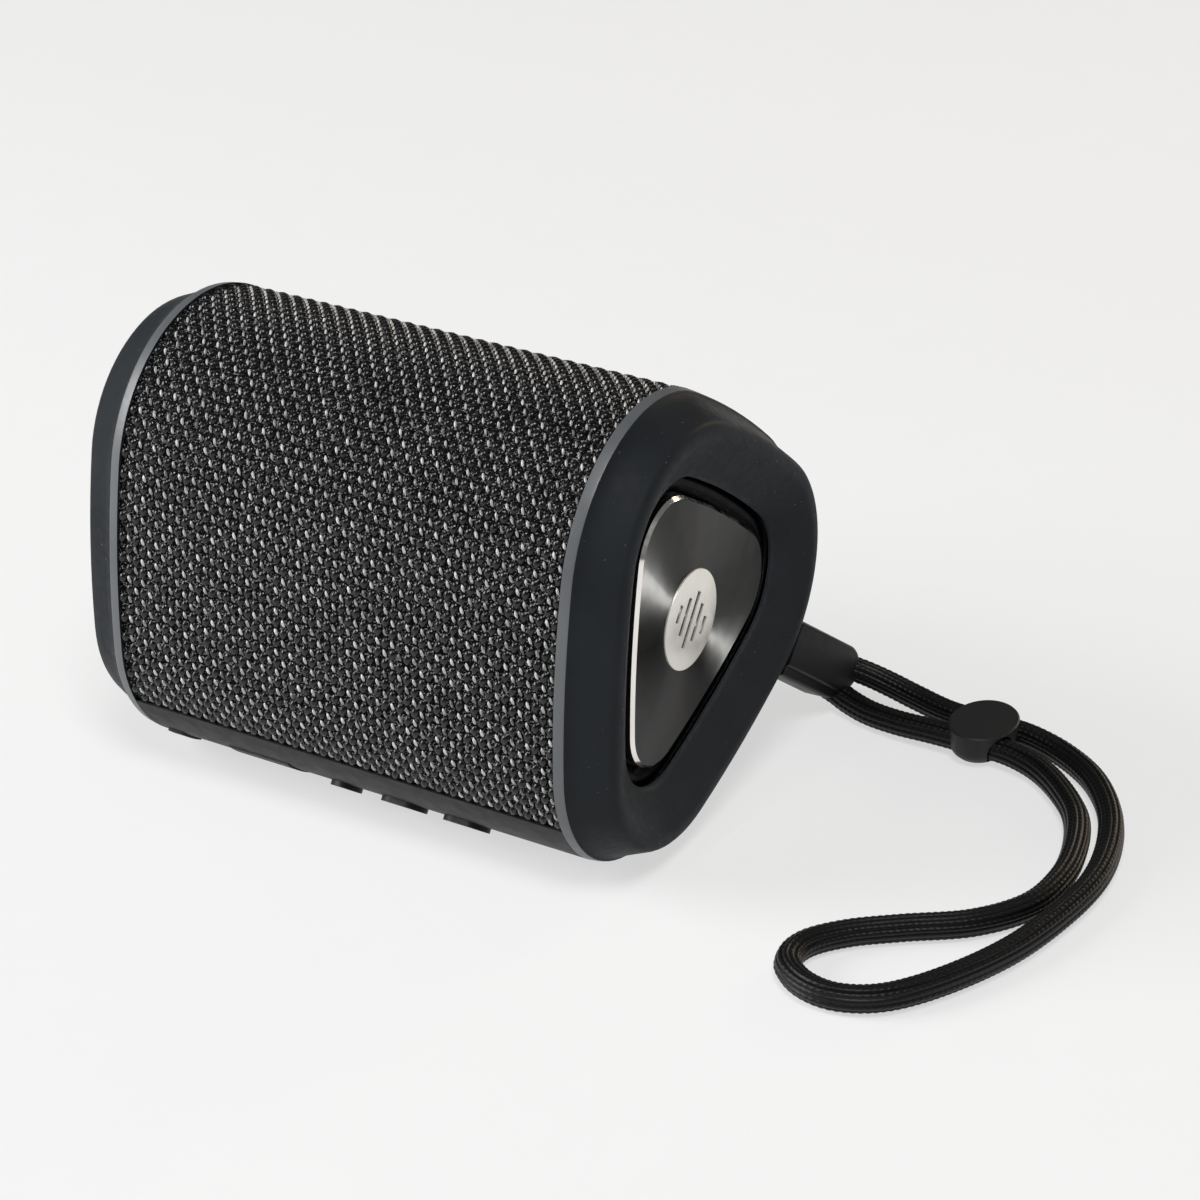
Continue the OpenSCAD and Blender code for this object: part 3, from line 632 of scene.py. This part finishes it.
# the middle of the cord, from one end in the connector round the loop to the other
CORD_ROUTE = [(x * MM, y * MM, z * MM) for x, y, z in [
    (48.2, 46.2, 7.6), (51.5, 47.8, 6.6), (55, 48.9, 5.5), (59, 49.2, 4.5),
    (64, 48.8, 3.6), (71, 47.6, 3.1), (79, 47.4, 3.1), (86, 47.3, 3),
    (93.5, 45.4, 2.4), (101.2, 40, 2.4), (107.6, 31.6, 2.4), (111.6, 22, 2.4),
    (113.6, 11.5, 2.4), (113.2, 0.5, 2.4), (110.6, -13.5, 2.4), (105.6, -26, 2.4),
    (99.6, -35.2, 2.4), (93, -39.2, 2.4), (86.6, -38.6, 2.4), (82, -34.6, 2.4),
    (82, -28.8, 2.4), (86.2, -22.8, 2.4), (93, -17, 2.4), (102, -10, 2.4),
    (107.7, -1.2, 2.4), (108.8, 8.5, 2.4), (107.2, 18, 2.4), (103.6, 27, 2.4),
    (98, 33.8, 2.4), (91.8, 38.6, 2.5), (85.6, 40.3, 3), (79, 40.4, 3.1),
    (71.5, 40.4, 3.1), (64.5, 40.5, 2.8), (58.5, 41.4, 2.6), (54, 42.8, 2.8),
    (51, 43.6, 3.5), (48.2, 43.6, 4.6)]]


def route_curve(steps):
    """The cord's route as a smooth curve, with some steps for each leg."""
    points = [Vector(p) for p in CORD_ROUTE]
    last = len(points) - 1
    line = []
    for i in range(last):
        a, b, c, d = (points[min(max(k, 0), last)] for k in (i - 1, i, i + 1, i + 2))
        for k in range(steps):
            t = k / steps
            line.append(0.5 * (2 * b + (c - a) * t + (2 * a - 5 * b + 4 * c - d) * t * t
                               + (3 * b - a - 3 * c + d) * t * t * t))
    return line + [points[last]]


def even_steps(line, pitch):
    """The same line with points a fixed distance apart."""
    lengths = [0.0]
    for a, b in zip(line, line[1:]):
        lengths.append(lengths[-1] + (b - a).length)
    count = round(lengths[-1] / pitch)
    points, k = [], 0
    for i in range(count + 1):
        reach = lengths[-1] * i / count
        while k < len(lengths) - 2 and lengths[k + 1] < reach:
            k += 1
        share = (reach - lengths[k]) / max(lengths[k + 1] - lengths[k], 1e-12)
        points.append(line[k].lerp(line[k + 1], min(1, share)))
    return points, lengths[-1]


class SPEAKER_OT_cord(bpy.types.Operator):
    """Braided wrist cord along its route"""
    bl_idname = "speaker.cord"
    bl_label = "Wrist cord"

    def execute(self, context):
        radius = context.scene.speaker_sizes.cord_diameter / 2
        sides, rows, stitch, relief = 60, 12, 1.1 * MM, 0.14
        line, length = even_steps(route_curve(8), stitch / 4)
        verts, faces = [], []
        for i, point in enumerate(line):
            along = (line[min(i + 1, len(line) - 1)] - line[max(i - 1, 0)]).normalized()
            side = along.cross(Vector((0.02, 0.03, 1))).normalized()
            up = side.cross(along)
            reach = length * i / (len(line) - 1)
            for k in range(sides):
                turn = k / sides
                r = radius * (1 - relief + relief * self.knit(turn * rows, reach / stitch))
                verts.append(point + r * (math.cos(2 * math.pi * turn) * side
                                          + math.sin(2 * math.pi * turn) * up))
        for i in range(len(line) - 1):
            for k in range(sides):
                a, b = i * sides + k, i * sides + (k + 1) % sides
                faces.append((a, b, b + sides, a + sides))
        faces.append(tuple(reversed(range(sides))))
        faces.append(tuple(range((len(line) - 1) * sides, len(line) * sides)))
        mesh = bpy.data.meshes.new("wrist_cord")
        mesh.from_pydata(verts, [], faces)
        cord = bpy.data.objects.new("wrist_cord", mesh)
        context.scene.collection.objects.link(cord)
        only(cord)
        bpy.ops.object.mode_set(mode="EDIT")
        face_outward()
        smooth(cord, 60)
        finished(cord, "strap", "cord_braid", ["strap_cord"], braid_finish())
        return {"FINISHED"}

    @staticmethod
    def knit(across, along):
        """Height of the cover, 0 to 1: rows of slanting stitches, with every third row sunk in a groove."""
        lean, low_bead, groove = 0.45, 0.45, 0.55
        row = math.floor(across)
        lane = across - row
        slant = lean * (lane if row % 2 else 1 - lane)
        ridge = math.sin(math.pi * lane) ** 0.5
        bead = abs(math.sin(math.pi * (along + slant))) ** 0.5
        return ridge * (low_bead + (1 - low_bead) * bead) * (groove if row % 3 == 2 else 1.0)


class SPEAKER_OT_caps(bpy.types.Operator):
    """Rubber end caps: rim band, taper, lip and dished face"""
    bl_idname = "speaker.caps"
    bl_label = "End caps"
    # (depth, inset) in millimetres, from the sleeve outwards
    FRONT = [(0, 0), (0.25, 0.03), (1.5, 0.24), (1.75, 0.32), (1.9, 0.46), (2.0, 0.68),
             (2.15, 0.88), (3.9, 1.76), (6.1, 2.72), (8.0, 3.52), (8.45, 3.8), (8.75, 4.14),
             (8.93, 4.6), (8.99, 5.2), (8.99, 5.9), (8.9, 6.35), (8.68, 6.8), (8.3, 7.5),
             (7.2, 9.84), (6.2, 11.72), (5.55, 12.95), (5.3, 13.25), (4.98, 13.44), (4.6, 13.5)]
    BACK = [(0, 0), (0, 8.6), (1.1, 8.62), (1.1, 11.9), (3, 11.92), (4.2, 13.4)]
    BAND_WIDTH = 1.8 * MM

    def execute(self, context):
        sizes = context.scene.speaker_sizes
        end = sizes.sleeve_length / 2
        cap = skin("cap_front", self.FRONT, end)
        rear = skin("cap_back", self.BACK, end)
        only(cap)
        rear.select_set(True)
        bpy.ops.object.join()
        bpy.ops.object.mode_set(mode="EDIT")
        bpy.ops.mesh.select_all(action="SELECT")
        bpy.ops.mesh.remove_doubles(threshold=JOIN_WITHIN)
        pick(lambda a, b: False, "EDGE")
        bpy.ops.mesh.select_non_manifold(extend=False)
        bpy.ops.mesh.bridge_edge_loops()
        closed_up(cap, 35)
        rubber = cap_rubber_finish()
        left = mirrored(cap, "end_cap_rubber_left")
        only(cap)
        named("end_cap_rubber_right")
        self.cut_strap_slot(cap)
        smooth(cap, 35)
        smooth(left, 35)
        band = rim_band_painted_sheen_finish()
        finished(cap, "speaker", "cap_rubber", ["end_cap_right"], rubber, band)
        finished(left, "speaker", "cap_rubber", ["end_cap_left"], rubber, band)
        # the outward faces of the rim band take the painted sheen material
        for piece in (cap, left):
            for face in piece.data.polygons:
                x = abs(face.center.x) - end
                face.material_index = int(NEAR < x < self.BAND_WIDTH and abs(face.normal.x) < 0.5
                                          and self.outside(face))
        return {"FINISHED"}

    @staticmethod
    def outside(face):
        """Whether a face of the rim looks away from the body's centre line."""
        sizes = bpy.context.scene.speaker_sizes
        away = face.center - Vector((face.center.x, sizes.body_y, sizes.body_z))
        inside_rim = 30 * MM
        return away.length > inside_rim and face.normal.dot(away) > 0

    def cut_strap_slot(self, cap):
        """The slot in which the strap's connector swings about its pin."""
        width, eye_radius, length, height = 4.6 * MM, 3.4 * MM, 14 * MM, 6 * MM
        carve(cap, rod(32, eye_radius, width, STRAP_PIN))
        for swing in STRAP_SWINGS:
            angle = math.radians(STRAP_TILT - swing)
            middle = Matrix.Rotation(angle, 4, "X") @ Vector((0, length / 2, 0))
            carve(cap, bar(STRAP_PIN + middle, angle, (width, length, height)))


class SPEAKER_OT_radiators(bpy.types.Operator):
    """Rubber surrounds, spun plates on their rubber seats and badges of both passive radiators"""
    bl_idname = "speaker.radiators"
    bl_label = "Radiators"
    # (depth, inset) in millimetres: the roll round the plate, and the seat under it
    ROLL = [(0.9, 12.0), (1.5, 12.1), (2.1, 12.35), (2.7, 12.75), (3.15, 13.25), (3.42, 13.8),
            (3.5, 14.4), (3.42, 14.95), (3.15, 15.5), (2.8, 15.95), (2.58, 16.3)]
    SEAT = [(2.62, 16.45), (2.8, 16.9), (3.0, 17.2), (3.1, 18.2)]
    PLATE_INSET, PLATE_BACK, PLATE_FRONT = 16.6 * MM, 3.3 * MM, 4.9 * MM
    BADGE_RADIUS, BADGE_THICK = 8.5 * MM, 0.3 * MM
    BARS = (3, 6.4, 9.6, 6.4, 3)

    def execute(self, context):
        end = context.scene.speaker_sizes.sleeve_length / 2
        ring = self.rubber_ring("surround_right", self.ROLL, end)
        rest = self.rubber_ring("plate_seat_right", self.SEAT, end)
        rubber = moulded("glossy_roll_rubber", (0.0014, 0.0014, 0.0015), rough=0.3, depth=0.008,
                         specular=0.02)
        on_both_ends(ring, "speaker", "surround_rubber", "radiator_surround_{}", rubber)
        on_both_ends(rest, "radiator_{}", "surround_rubber", None, rubber)

        catches = bpy.data.collections.new("Catches the plate light")
        lamp = bpy.data.objects.get("Plate light")
        if lamp:
            lamp.light_linking.receiver_collection = catches
        spun, polished = spun_metal_finish(), moulded(
            "polished_chamfer", (0.85, 0.82, 0.78), rough=0.14, grain=900.0, depth=0.003,
            metallic=1.0, spread=0.03)
        for piece in on_both_ends(self.plate(end), "radiator_{}", "spun_metal", "radiator_plate_{}",
                                  spun, polished):
            self.map_turning(piece)
            self.polish_rim(piece)
            catches.objects.link(piece)
        silver = moulded("satin_silver", tuple(context.scene.speaker_colours.badge), rough=0.34,
                         grain=1600.0, depth=0.004, metallic=0.55, spread=0.03)
        badge = self.badge(end)
        finished(badge, "radiator_right", "badge_metal", ["badge_right"], silver)
        finished(mirrored(badge, "badge_disc_left"), "radiator_left", "badge_metal", ["badge_left"],
                 silver)
        return {"FINISHED"}

    def rubber_ring(self, name, profile, end):
        """A thin rubber ring that follows the section along a profile of (depth, inset) points."""
        ring = skin(name, profile, end)
        wall = ring.modifiers.new("Wall", "SOLIDIFY")
        wall.thickness, wall.offset = 0.5 * MM, -1
        apply_modifiers(ring)
        smooth(ring, 50)
        return ring

    def plate(self, end):
        """Extruded plate with a chamfer; its face is scaled in rings towards the centre."""
        chamfer = 0.55 * MM
        wall = self.PLATE_FRONT - self.PLATE_BACK - chamfer
        plate = fill_section("radiator_disc_right", self.PLATE_INSET, end + self.PLATE_BACK)
        bpy.ops.mesh.extrude_region_move(TRANSFORM_OT_translate={"value": (wall, 0, 0)})
        bpy.ops.mesh.inset(thickness=chamfer, depth=chamfer, use_even_offset=True)
        centre = place(0, 0, end + self.PLATE_FRONT)
        for share in (0.86, 0.82, 0.78, 0.72, 0.64, 0.55, 0.45, 0.3):
            bpy.ops.mesh.extrude_region_move(TRANSFORM_OT_translate={"value": (0, 0, 0)})
            bpy.ops.transform.resize(value=(1, share, share), center_override=centre)
        bpy.ops.mesh.merge(type="CENTER")
        bpy.ops.mesh.select_mode(type="EDGE")
        bpy.ops.mesh.select_non_manifold()
        bpy.ops.mesh.edge_face_add()
        closed_up(plate, 30)
        return plate

    def badge(self, end):
        """Round badge with a softened rim and five bars cut through it."""
        face, thick, spacing = end + self.PLATE_FRONT, self.BADGE_THICK, 2.4 * MM
        rod(96, self.BADGE_RADIUS, thick, place(0, 0, face + thick / 2))
        settle()
        badge = named("badge_disc_right")
        bpy.ops.object.mode_set(mode="EDIT")
        pick(lambda a, b: min(a.x, b.x) > face + thick - NEAR, "EDGE")
        bpy.ops.mesh.bevel(offset=0.1 * MM, segments=2, affect="EDGES")
        bpy.ops.object.mode_set(mode="OBJECT")
        lean = bpy.context.scene.speaker_sizes.lean
        for i, tall in enumerate(self.BARS):
            carve(badge, bar(place((i - 2) * spacing, 0, face + 0.2 * MM), -lean,
                             (1 * MM, 1.1 * MM, tall * MM)))
        smooth(badge, 30)
        return badge

    @staticmethod
    def map_turning(piece):
        """A map that runs round the plate's centre, for the direction of the turned grooves."""
        sizes = bpy.context.scene.speaker_sizes
        mesh = piece.data
        uv = mesh.uv_layers.new(name="turned")
        for face in mesh.polygons:
            middle = math.atan2(face.center.z - sizes.body_z, face.center.y - sizes.body_y)
            for loop in face.loop_indices:
                co = mesh.vertices[mesh.loops[loop].vertex_index].co
                y, z = co.y - sizes.body_y, co.z - sizes.body_z
                radius = math.hypot(y, z)
                turn = math.atan2(z, y) if radius > 0.1 * MM else middle
                turn = middle + (turn - middle + math.pi) % (2 * math.pi) - math.pi
                uv.data[loop].uv = (turn / (2 * math.pi), radius * 20)

    @staticmethod
    def polish_rim(piece):
        """The chamfer and the edge wall take the polished finish."""
        for face in piece.data.polygons:
            if abs(face.normal.x) < 0.9:
                face.material_index = 1


def sleeve_table(arcs):
    """Arc lengths of the sleeve's path, to find a place round the body by distance."""
    reach, table = 0.0, []
    for c, r, start, end, _ in arcs:
        table.append((reach, c, r, start, end))
        reach += r * (end - start)
    return table, reach


def round_body(table, distance, lift):
    """Section point at a distance round the sleeve, lifted off its outer surface."""
    at, c, r, start, end = next(row for row in reversed(table) if distance >= row[0] or row is table[0])
    turn = start + (distance - at) / r
    return c + (r + lift) * Vector((math.cos(turn), math.sin(turn)))


class SPEAKER_OT_sleeve(bpy.types.Operator):
    """Woven sleeve: backing cloth and rows of plump yarn bumps and floats, the floats painted light grey as
    glints
    """
    bl_idname = "speaker.sleeve"
    bl_label = "Woven sleeve"
    # half sizes in millimetres, turn in degrees and segments of a dark bump and of a float that carries the
    # painted glint
    BUMP = (0.7, 1.0, 0.56), 8, 8
    FLOAT = (0.23, 0.7, 0.4), -26, 6

    def execute(self, context):
        sizes, colours = context.scene.speaker_sizes, context.scene.speaker_colours
        arcs = sleeve_arcs()
        table, around = sleeve_table(arcs)
        length = sizes.sleeve_length
        dark = yarn_finish("dark_yarn", colours.yarn, 0.22, 0.5)
        # the floats take the painted glint colour; the bumps take the yarn's own dark colour
        bright = yarn_finish("bright_yarn", colours.floats, 0.36, 0.8)

        cloth = draw_section("sleeve_backing", CLOTH_DEPTH, -length / 2, arcs)
        bpy.ops.mesh.extrude_region_move(TRANSFORM_OT_translate={"value": (length, 0, 0)})
        face_outward()
        wall = cloth.modifiers.new("Wall", "SOLIDIFY")
        wall.thickness, wall.offset = 0.4 * MM, -1
        apply_modifiers(cloth)
        smooth(cloth, 40)
        finished(cloth, "speaker", "woven_fabric", ["fabric_sleeve"], backing_cloth_painted_glints_finish())

        columns = round(length / sizes.cell_length)
        rows = round(around / (2 * sizes.row_pitch))
        step_x, step_y = length / columns, around / rows
        weave = self.cell(step_x, step_y, dark, bright)
        for count, offset in ((columns, (step_x, 0, 0)), (rows, (0, step_y, 0))):
            array = weave.modifiers.new("Rows", "ARRAY")
            array.count, array.use_relative_offset, array.use_constant_offset = count, False, True
            array.constant_offset_displace = offset
        apply_modifiers(weave)
        for vertex in weave.data.vertices:
            x, distance, lift = vertex.co
            point = round_body(table, distance, lift - CLOTH_DEPTH)
            vertex.co = place(point.x, point.y, min(max(x - length / 2, -length / 2), length / 2))
        weave.data.update()
        only(weave)
        bpy.ops.object.shade_smooth()
        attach(weave, "speaker")
        return {"FINISHED"}

    def cell(self, step_x, step_y, dark, bright):
        """One cell of the weave, flat: two bumps and two floats, the second pair shifted by half."""
        parts = []
        for i in (0, 1):
            x, y = (0.25 + 0.5 * i) * step_x, (0.25 + 0.5 * i) * step_y
            parts.append(self.grain((x, y), *self.BUMP, dark))
            parts.append(self.grain((x + 0.5 * step_x, y), *self.FLOAT, bright))
        only(parts[0])
        for part in parts:
            part.select_set(True)
        bpy.ops.object.join()
        return named("sleeve_weave")

    def grain(self, at, half, turn, segments, material):
        """Upper half of a plump oval lying on the cloth."""
        clear_selection()
        bpy.ops.mesh.primitive_uv_sphere_add(segments=segments, ring_count=4, radius=1 * MM)
        bpy.ops.object.mode_set(mode="EDIT")
        pick(lambda co: co.z < -0.1 * MM, "VERT")
        bpy.ops.mesh.delete(type="VERT")
        bpy.ops.object.mode_set(mode="OBJECT")
        grain = bpy.context.object
        grain.scale = half
        grain.rotation_euler.z = math.radians(turn)
        grain.location = (*at, 0)
        settle()
        grain.data.materials.append(material)
        return grain


class SPEAKER_OT_connector(bpy.types.Operator):
    """Rubber connector that holds the cord's ends"""
    bl_idname = "speaker.connector"
    bl_label = "Strap connector"

    def execute(self, context):
        tilt = Matrix.Translation(STRAP_PIN) @ Matrix.Rotation(math.radians(STRAP_TILT), 4, "X")
        yaw = tilt @ Matrix.Translation((0, 9 * MM, 0)) @ Matrix.Rotation(math.radians(-14), 4, "Z")
        sleeve = self.block("strap_connector_rubber", (-3.3, 0, -5.1), (2.4, 19, 5.1), 4.9, 0.7, yaw)
        slab = self.block("slab", (1.6, -0.3, -3.3), (3.3, 20, 5.1), 4.1, 0.75, yaw)
        neck = self.block("neck", (-2, -2.6, -2.6), (2, 11.5, 2.6), 2.5, 0.3, tilt)
        eye = rod(40, 2.9 * MM, 4 * MM, STRAP_PIN)
        carve(sleeve, slab, "UNION")
        carve(sleeve, neck, "UNION")
        carve(sleeve, eye, "UNION")
        smooth(sleeve, 32)
        finished(sleeve, "strap", "strap_rubber", ["strap_connector"],
                 moulded("strap_connector_rubber", (0.003, 0.0031, 0.0034), rough=0.46, grain=3500.0,
                         depth=0.03, specular=0.28))
        return {"FINISHED"}

    def block(self, name, low, high, nose, soft, matrix):
        """A bar with a rounded nose and softened edges, put in place."""
        low, high = Vector(low) * MM, Vector(high) * MM
        clear_selection()
        bpy.ops.mesh.primitive_cube_add(size=1, location=(low + high) / 2, scale=high - low)
        settle()
        piece = named(name)
        bpy.ops.object.mode_set(mode="EDIT")
        pick(lambda a, b: min(a.y, b.y) > high.y - NEAR and abs(a.x - b.x) > NEAR, "EDGE")
        bpy.ops.mesh.bevel(offset=nose * MM, segments=10, affect="EDGES")
        bpy.ops.mesh.select_mode(type="EDGE")
        bpy.ops.mesh.select_all(action="DESELECT")
        pick(lambda a, b: abs(a.x - b.x) < NEAR and min(abs(a.x - low.x), abs(a.x - high.x)) < NEAR,
             "EDGE")
        bpy.ops.mesh.bevel(offset=soft * MM, segments=4, affect="EDGES")
        bpy.ops.object.mode_set(mode="OBJECT")
        piece.matrix_world = matrix
        settle()
        return piece


class SPEAKER_OT_slider(bpy.types.Operator):
    """Oval rubber slider on the cord"""
    bl_idname = "speaker.slider"
    bl_label = "Cord slider"

    def execute(self, context):
        centre, radius = Vector((79, 43.8, 2.7)) * MM, 8.4 * MM
        half_x, half_y, upper = 5.8 * MM, 7.4 * MM, 3.15 * MM
        clear_selection()
        bpy.ops.mesh.primitive_circle_add(vertices=64, radius=radius, fill_type="NGON", location=centre)
        settle()
        slider = named("cord_slider")
        bpy.ops.object.mode_set(mode="EDIT")
        bpy.ops.mesh.select_all(action="SELECT")
        bpy.ops.transform.resize(value=(half_x / radius, half_y / radius, 1), center_override=centre)
        bpy.ops.mesh.extrude_region_move(TRANSFORM_OT_translate={"value": (0, 0, upper)})
        bpy.ops.mesh.inset(thickness=0.25 * MM, depth=0.25 * MM)
        bpy.ops.mesh.inset(thickness=0.9 * MM, depth=0)
        bpy.ops.mesh.select_mode(type="EDGE")
        bpy.ops.mesh.select_all(action="DESELECT")
        bpy.ops.mesh.select_non_manifold()
        bpy.ops.mesh.edge_face_add()
        pick(lambda face: face.center.z < centre.z + NEAR and abs(face.normal.z) > 0.9)
        bpy.ops.object.mode_set(mode="OBJECT")
        down = next(f for f in slider.data.polygons if f.select).normal.z < 0
        bpy.ops.object.mode_set(mode="EDIT")
        if not down:
            bpy.ops.mesh.flip_normals()
        for thickness, depth in ((0.25, 0.7), (0.45, 0.7), (0.7, 0.6), (0.9, 0.4), (1.2, 0.2)):
            bpy.ops.mesh.inset(thickness=thickness * MM, depth=depth * MM)
        closed_up(slider, 40)
        for leg in ((79, 47.4, 3.1), (79, 40.4, 3.1)):
            carve(slider, rod(40, 2.55 * MM, 30 * MM, Vector(leg) * MM))
        smooth(slider, 40)
        finished(slider, "slider", "strap_rubber", ["strap_slider"],
                 moulded("slider_rubber", (0.018, 0.0183, 0.019), rough=0.5, grain=3000.0, depth=0.03,
                         specular=0.25))
        return {"FINISHED"}


CAD_FINISHES = {
    # slot: (colour, roughness, metallic, nodes); no colour takes the strip colour of the panel
    "shell_plastic": ((0.016, 0.017, 0.018), 0.5, 0.0,
        "body_shell end_plate_right end_plate_left battery_cradle driver_frame driver_gasket"),
    "strip_rubber": (None, 0.55, 0.0, "control_strip port_door"),
    "button_rubber": ((0.006, 0.0066, 0.0076), 0.5, 0.0, "power_button minus_button plus_button"),
    "grille_steel": ((0.03, 0.031, 0.033), 0.4, 0.8, "driver_grille"),
    "screw_steel": ((0.5, 0.5, 0.49), 0.3, 1.0,
        "end_screws_right end_screws_left driver_screws board_screws strap_pin key_switches "
        "usb_socket"),
    "weight_steel": ((0.35, 0.35, 0.35), 0.35, 1.0,
        "radiator_weight_right radiator_weight_left top_plate pole_piece"),
    "surround_rubber": ((0.01, 0.01, 0.01), 0.45, 0.0, "driver_surround"),
    "cone_plastic": ((0.02, 0.021, 0.022), 0.45, 0.0, "driver_cone dust_cap"),
    "coil_copper": ((0.55, 0.25, 0.1), 0.35, 1.0, "voice_coil"),
    "spider_cloth": ((0.5, 0.33, 0.09), 0.8, 0.0, "spider"),
    "magnet_ferrite": ((0.05, 0.05, 0.055), 0.6, 0.2, "driver_magnet"),
    "contact_brass": ((0.65, 0.45, 0.15), 0.3, 1.0, "driver_terminals"),
    "wire_red": ((0.35, 0.02, 0.015), 0.45, 0.0, "driver_wires battery_wires"),
    "board_green": ((0.015, 0.1, 0.045), 0.4, 0.0, "main_board key_board"),
    "module_can": ((0.45, 0.45, 0.44), 0.32, 1.0, "bluetooth_module microphone"),
    "chip_black": ((0.012, 0.012, 0.013), 0.45, 0.0, "amplifier_chip inductors"),
    "capacitor_blue": ((0.03, 0.07, 0.24), 0.4, 0.0, "capacitors"),
    "socket_white": ((0.7, 0.68, 0.6), 0.45, 0.0, "battery_socket"),
    "cell_blue": ((0.05, 0.14, 0.4), 0.4, 0.0, "battery_cell"),
    "light_clear": ((0.7, 0.72, 0.75), 0.2, 0.0, "status_light"),
    "cable_white": ((0.62, 0.58, 0.5), 0.5, 0.0, "key_cable"),
}


class SPEAKER_OT_finishes(bpy.types.Operator):
    """Finishes on the pieces that keep their CAD shape"""
    bl_idname = "speaker.finishes"
    bl_label = "Finishes"

    def execute(self, context):
        strip = tuple(context.scene.speaker_colours.strip)
        for name, (colour, rough, metallic, nodes) in CAD_FINISHES.items():
            material = moulded(name, colour or strip, rough=rough, metallic=metallic,
                               specular=0.3 if name in {"strip_rubber", "button_rubber"} else 0.5)
            for node in nodes.split():
                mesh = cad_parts[node].data
                mesh.materials.clear()
                mesh.materials.append(material)
        return {"FINISHED"}


PIECES = (
    SPEAKER_OT_stage, SPEAKER_OT_slider, SPEAKER_OT_cord, SPEAKER_OT_sleeve, SPEAKER_OT_caps,
    SPEAKER_OT_radiators, SPEAKER_OT_connector, SPEAKER_OT_finishes,
)


class SPEAKER_PT_panel(bpy.types.Panel):
    """Lists the speaker's sizes, colours and pieces"""
    bl_idname = "SPEAKER_PT_panel"
    bl_label = "Shower speaker"
    bl_space_type = "VIEW_3D"
    bl_region_type = "UI"
    bl_category = "Speaker"

    def draw(self, context):
        scene = context.scene
        for group in (scene.speaker_sizes, scene.speaker_colours, scene.speaker_stage):
            box = self.layout.box()
            for key in group.bl_rna.properties.keys():
                if key not in {"rna_type", "name"}:
                    box.prop(group, key)
        for piece in PIECES:
            self.layout.operator(piece.bl_idname)


GROUPS = (SpeakerSizes, SpeakerColours, SpeakerStage)


def register():
    for cls in (*GROUPS, *PIECES, SPEAKER_PT_panel):
        bpy.utils.register_class(cls)
    bpy.types.Scene.speaker_sizes = bpy.props.PointerProperty(type=SpeakerSizes)
    bpy.types.Scene.speaker_colours = bpy.props.PointerProperty(type=SpeakerColours)
    bpy.types.Scene.speaker_stage = bpy.props.PointerProperty(type=SpeakerStage)


def unregister():
    del bpy.types.Scene.speaker_stage
    del bpy.types.Scene.speaker_colours
    del bpy.types.Scene.speaker_sizes
    for cls in reversed((*GROUPS, *PIECES, SPEAKER_PT_panel)):
        bpy.utils.unregister_class(cls)


def main():
    register()
    for piece in PIECES:
        section, call = piece.bl_idname.split(".")
        if getattr(getattr(bpy.ops, section), call)() != {"FINISHED"}:
            raise RuntimeError(piece.bl_label + " wasn't made")


if __name__ == "__main__":
    main()
